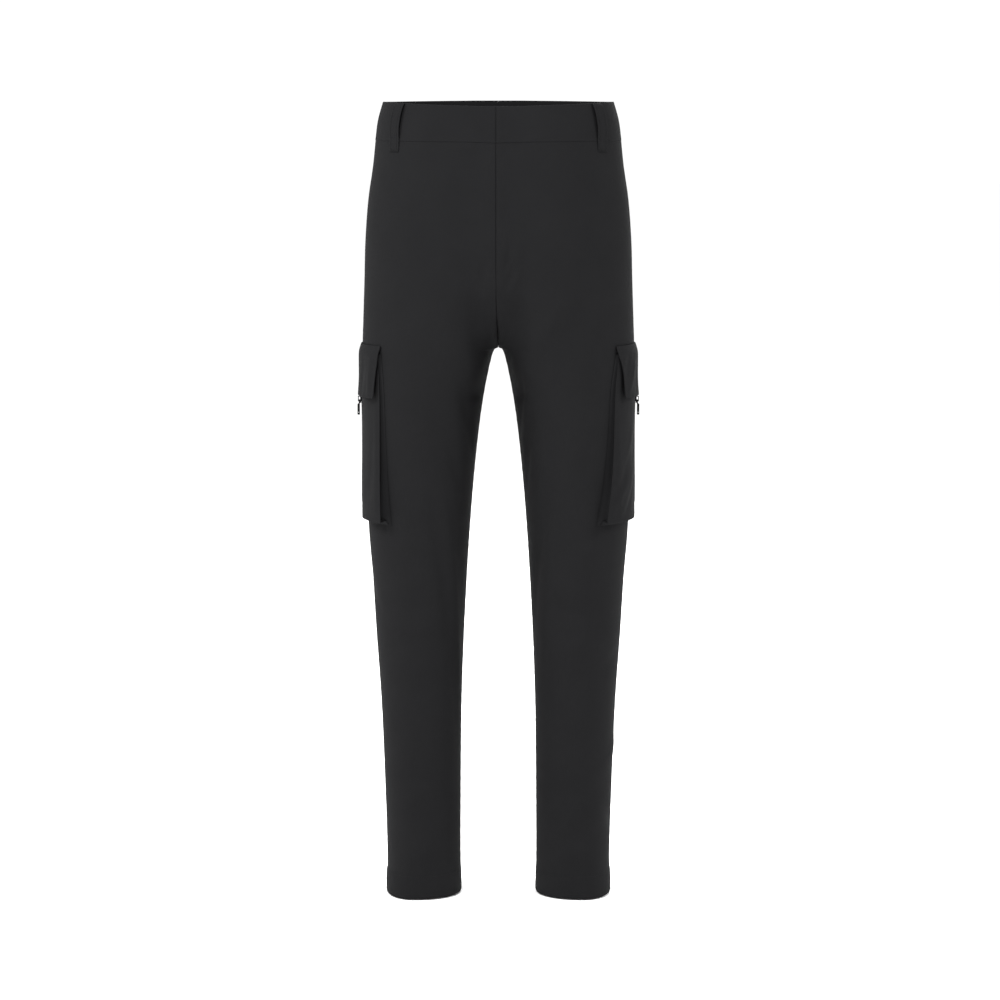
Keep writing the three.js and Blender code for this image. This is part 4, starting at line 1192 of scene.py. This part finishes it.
def stretch_cotton_twill():
    """Garment-dyed stretch cotton twill. A fine steep rib and a faint nap give an even charcoal with almost no
    shine. The real rib is about 0.5 mm wide and is drawn at 1.1 mm, so that it shows close up."""
    m, colour, bump = twill("stretch_cotton_twill", 1.1, 27, CLOTH_DARK, CLOTH_LIGHT, 0.4)
    return finish_material(m, Base_Color=colour, Roughness=0.92, Specular_IOR_Level=0.07, Normal=bump)


def polyester_thread():
    """Spun polyester sewing thread in the cloth's own colour. Its twist gives small, slightly brighter dashes."""
    m = new_material("polyester_thread")
    place_of = add_node(m, "ShaderNodeTexCoord").outputs["Object"]
    twist = add_node(m, "ShaderNodeTexNoise", {"Vector": place_of, "Scale": 2600.0}).outputs["Fac"]
    colour = mixed(m, twist, hex_colour("#0f0f10"), hex_colour("#161616"))
    return finish_material(m, Base_Color=colour, Roughness=0.8, Specular_IOR_Level=0.1)


def woven_zip_tape():
    """Woven polyester zip tape. A flat tight herringbone gives a darker, smoother strip beside the coil."""
    m, colour, bump = twill("woven_zip_tape", 0.9, 45, hex_colour("#0b0b0c"), hex_colour("#111112"), 0.3)
    return finish_material(m, Base_Color=colour, Roughness=0.85, Specular_IOR_Level=0.06, Normal=bump)


def moulded_coil():
    """Nylon monofilament coil. Smooth drawn plastic, so each turn has a small soft glint."""
    m = new_material("nylon_coil")
    place_of = add_node(m, "ShaderNodeTexCoord").outputs["Object"]
    dust = add_node(m, "ShaderNodeTexNoise", {"Vector": place_of, "Scale": 400.0}).outputs["Fac"]
    colour = mixed(m, dust, hex_colour("#090909"), hex_colour("#0f0f10"))
    rough = sized(m, dust, 0.4, 0.55)
    return finish_material(m, Base_Color=colour, Roughness=rough, Specular_IOR_Level=0.2)


def lacquered_zinc():
    """Die-cast zinc under matt black lacquer. It stays near black, with a soft glint on every edge."""
    m = new_material("lacquered_zinc")
    place_of = add_node(m, "ShaderNodeTexCoord").outputs["Object"]
    rub = add_node(m, "ShaderNodeTexNoise", {"Vector": place_of, "Scale": 520.0, "Detail": 3.0}).outputs["Fac"]
    colour = mixed(m, rub, hex_colour("#060607"), hex_colour("#0d0d0e"))
    rough = sized(m, rub, 0.58, 0.72)
    inputs = {"Strength": 0.1, "Distance": 0.03 * MM, "Height": rub}
    bump = add_node(m, "ShaderNodeBump", inputs).outputs[0]
    return finish_material(m, Base_Color=colour, Metallic=0.0, Roughness=rough, Specular_IOR_Level=0.12, Normal=bump)


def white_paper():
    """Matt white studio paper. It takes a soft shadow and shows nothing else."""
    m = new_material("studio_paper")
    place_of = add_node(m, "ShaderNodeTexCoord").outputs["Object"]
    grain = add_node(m, "ShaderNodeTexNoise", {"Vector": place_of, "Scale": 3.0}).outputs["Fac"]
    colour = mixed(m, grain, hex_colour("#f9f9f9"), hex_colour("#fbfbfb"))
    return finish_material(m, Base_Color=colour, Roughness=0.95, Specular_IOR_Level=0.0)


# The garment, put together

cotton, thread = stretch_cotton_twill(), polyester_thread()
tape_cloth, coil, zinc = woven_zip_tape(), moulded_coil(), lacquered_zinc()


def declare(piece, cut, rests_on, held, *nodes):
    """Hides the parts of model.glb that a cloth piece stands for. How it is held and what it was cut to are not used.
    """
    if nodes:
        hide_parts(*nodes)


def both_ways(side, half):
    for face in (FRONT, BACK):
        node = f"{face['name']}_{side}"
        piece = make_panel(f"{face['name']}_panel_{side}", face, half, cotton)
        declare(piece, face["name"], [f"waistband_{side}"], "hung", node)
    band = make_waistband(f"waistband_cloth_{side}", half, cotton)
    declare(band, "waistband", [], "stretched", f"waistband_{side}")
    for where, at in LOOP_PLACES.items():
        loop = make_belt_loop(f"{where}_belt_loop_cloth_{side}", half, at, cotton)
        declare(loop, "loop", [f"waistband_{side}"], "stretched", f"belt_loop_{where}_{side}")
    pocket = make_pocket(f"pocket_cloth_{side}", half, cotton)
    declare(pocket, "pocket", [f"front_{side}", f"back_{side}"], "hung", f"cargo_pocket_{side}")
    flap = make_flap(f"flap_cloth_{side}", half, cotton)
    declare(flap, "flap", [f"cargo_pocket_{side}"], "hung", f"cargo_flap_{side}")
    tape, teeth = make_pocket_zip(side, half, tape_cloth, coil)
    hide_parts(f"pocket_zip_{side}")
    slider = seat_metal(model_slider(f"slider_{side}"), half, "root", zinc)
    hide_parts(f"zip_slider_{side}")
    pull = seat_metal(model_pull(f"pull_tab_{side}"), half, f"pull_{side}", zinc)
    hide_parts(f"zip_pull_{side}")


def loop_lines(half, at):
    """The two long rows and the lower end tack of a belt loop. The upper end is tacked out of sight."""
    lines = []
    low, high = LOOP_ROWS["z"][0] + 2.0, LOOP_ROWS["z"][-1] - 5.0
    z = np.linspace(high, low, 60)
    rows = [(way * (LOOP["width"] / 2 - LOOP_STITCH), z) for way in (-1, 1)]
    across = np.linspace(-7.4, 7.4, 20)
    rows += [(across, low + 0.45 * k + 0 * across) for k in range(-2, 3)]
    for across_at, height in rows:
        low = loop_layer(half, at, across_at, height, LOOP["wall"] + 0.05)
        out = loop_layer(half, at, across_at, height, LOOP["wall"] + 1.05) - low
        lines.append((low, out / np.linalg.norm(out, axis=-1, keepdims=True)))
    return lines


def pocket_lines(half):
    """The rows 6 mm inside a pocket's edges, and the rows that hold the zip."""
    inset = POCKET["edge"] - 6
    lines = []
    for at in (-inset, inset, -7.0, 7.0):
        bottom = -525.0 if abs(at) > 7 else ZIP["bottom"] - 2
        z = np.linspace(-367.0, bottom, 120)
        stand = pocket_stand(half, at + 0 * z, z)
        lines.append(garment_line(half, reached(POCKET_REACH, half, at + 0 * z, z), z, stand))
    for z_at, reach in ((-525.0, inset), (ZIP["bottom"] - 2.0, 7.0)):
        along = np.linspace(-reach, reach, 120)
        z = z_at + 0 * along
        stand = pocket_stand(half, along, z)
        lines.append(garment_line(half, reached(POCKET_REACH, half, along, z), z, stand))
    return lines


def flap_lines(half):
    """The row 6 mm inside a flap's free edges and the row along its seam."""
    edge, inset = FLAP["edge"] - FLAP["stitch"], FLAP["stitch"]
    down = np.linspace(-299.5, FLAP["bottom"] + inset, 40)
    across = np.linspace(-edge, edge, 120)
    route = [
        (-edge + 0 * down, down),
        (across, FLAP["bottom"] + inset + 0 * across),
        (edge + 0 * down, np.flip(down)),
        (np.linspace(-FLAP["edge"] + 1, FLAP["edge"] - 1, 120), -303.5 + 0 * across),
    ]
    lines = []
    for along, z in route:
        stand = stand_off(FLAP_ROWS, FLAP["edge"], z, along) + swells(FLAP_CREASES, half, along, z)
        lines.append(garment_line(half, reached(FLAP_REACH, half, along, z), z, stand - 0.22))
    return lines


def hem_line(half):
    """The row that holds the turned-up hem, right round the leg."""
    z = HEM["z"] + HEM["turn_up"] - 1.5
    lines = []
    for face in (FRONT, BACK):
        total = section(face, half, z)[1][-1]
        along = face["way"] * np.linspace(3, total - 3, 160)
        stand = HEM["proud"] + panel_creases(half, along, z, total - np.abs(along))
        lines.append(garment_line(half, along, z + 0 * along, stand))
    return lines


for side, half in HALVES.items():
    both_ways(side, half)

underlap, fly_tape, fly_teeth = make_fly(cotton, tape_cloth, coil)
declare(underlap, "shield", ["front_right", "waistband_right"], "hung", "fly_shield")
declare(fly_tape, "tape", ["front_left", "front_right"], "hung", "fly_zip")
back_loop = make_belt_loop("back_belt_loop_cloth", 0, 0.0, cotton)
declare(back_loop, "loop", ["waistband_right", "waistband_left"], "stretched", "belt_loop_back")

sewing = {
    "belt_loop_stitching": loop_lines(0, 0.0)
    + [line for half in HALVES.values() for at in LOOP_PLACES.values() for line in loop_lines(half, at)],
}
for side, half in HALVES.items():
    sewing[f"pocket_stitching_{side}"] = pocket_lines(half) + flap_lines(half)
    sewing[f"hem_stitching_{side}"] = hem_line(half)
for name, lines in sewing.items():
    make_stitches(name, lines, thread)

for node in ("waist_hook", "waist_bar"):
    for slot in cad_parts[node].material_slots:
        slot.material = zinc


# Studio: white paper, an even white surround and four soft lights.

FLOOR_Z = -1.046
CAMERA = {"at": (0.00216, -5.0, 0.0), "tilt": 84.1834, "lens": 134.17, "sensor": 36.0}
SOFT_LIGHTS = [
    # name, place, size, watts, height aimed at
    ("key_light", (-4.2, -1.6, 3.2), 1.8, 250.0, -0.5),
    ("fill_light", (4.4, -1.6, 2.8), 1.8, 180.0, -0.5),
    ("back_light", (0.8, 3.8, 2.8), 1.8, 240.0, -0.5),
    ("front_light", (-0.8, -2.0, 1.2), 0.9, 58.0, -0.15),
]
SURROUND = 1.06


def make_studio():
    bpy.ops.object.select_all(action="DESELECT")
    bpy.ops.mesh.primitive_circle_add(vertices=64, radius=60, fill_type="NGON", location=(0, 0, 0))
    floor = bpy.context.object
    floor.name = "studio_floor"
    floor.data.transform(Matrix.Translation((0, 0, FLOOR_Z)))
    floor.data.materials.append(white_paper())
    world = bpy.data.worlds.new("white_surround")
    world.use_nodes = True
    background = world.node_tree.nodes["Background"]
    background.inputs["Color"].default_value = (1, 1, 1, 1)
    background.inputs["Strength"].default_value = SURROUND
    bpy.context.scene.world = world
    for name, at, size, watts, height in SOFT_LIGHTS:
        data = bpy.data.lights.new(name, "AREA")
        data.size = size
        data.energy = watts
        light = bpy.data.objects.new(name, data)
        light.location = at
        light.rotation_euler = (Vector((0, 0, height)) - Vector(at)).to_track_quat("-Z", "Y").to_euler()
        bpy.context.collection.objects.link(light)


def make_camera():
    data = bpy.data.cameras.new("camera")
    data.lens = CAMERA["lens"]
    data.sensor_width = CAMERA["sensor"]
    camera = bpy.data.objects.new("camera", data)
    camera.location = CAMERA["at"]
    camera.rotation_euler = (math.radians(CAMERA["tilt"]), 0, 0)
    bpy.context.collection.objects.link(camera)
    bpy.context.scene.camera = camera
    bpy.context.scene.view_settings.view_transform = "Standard"


make_studio()
make_camera()
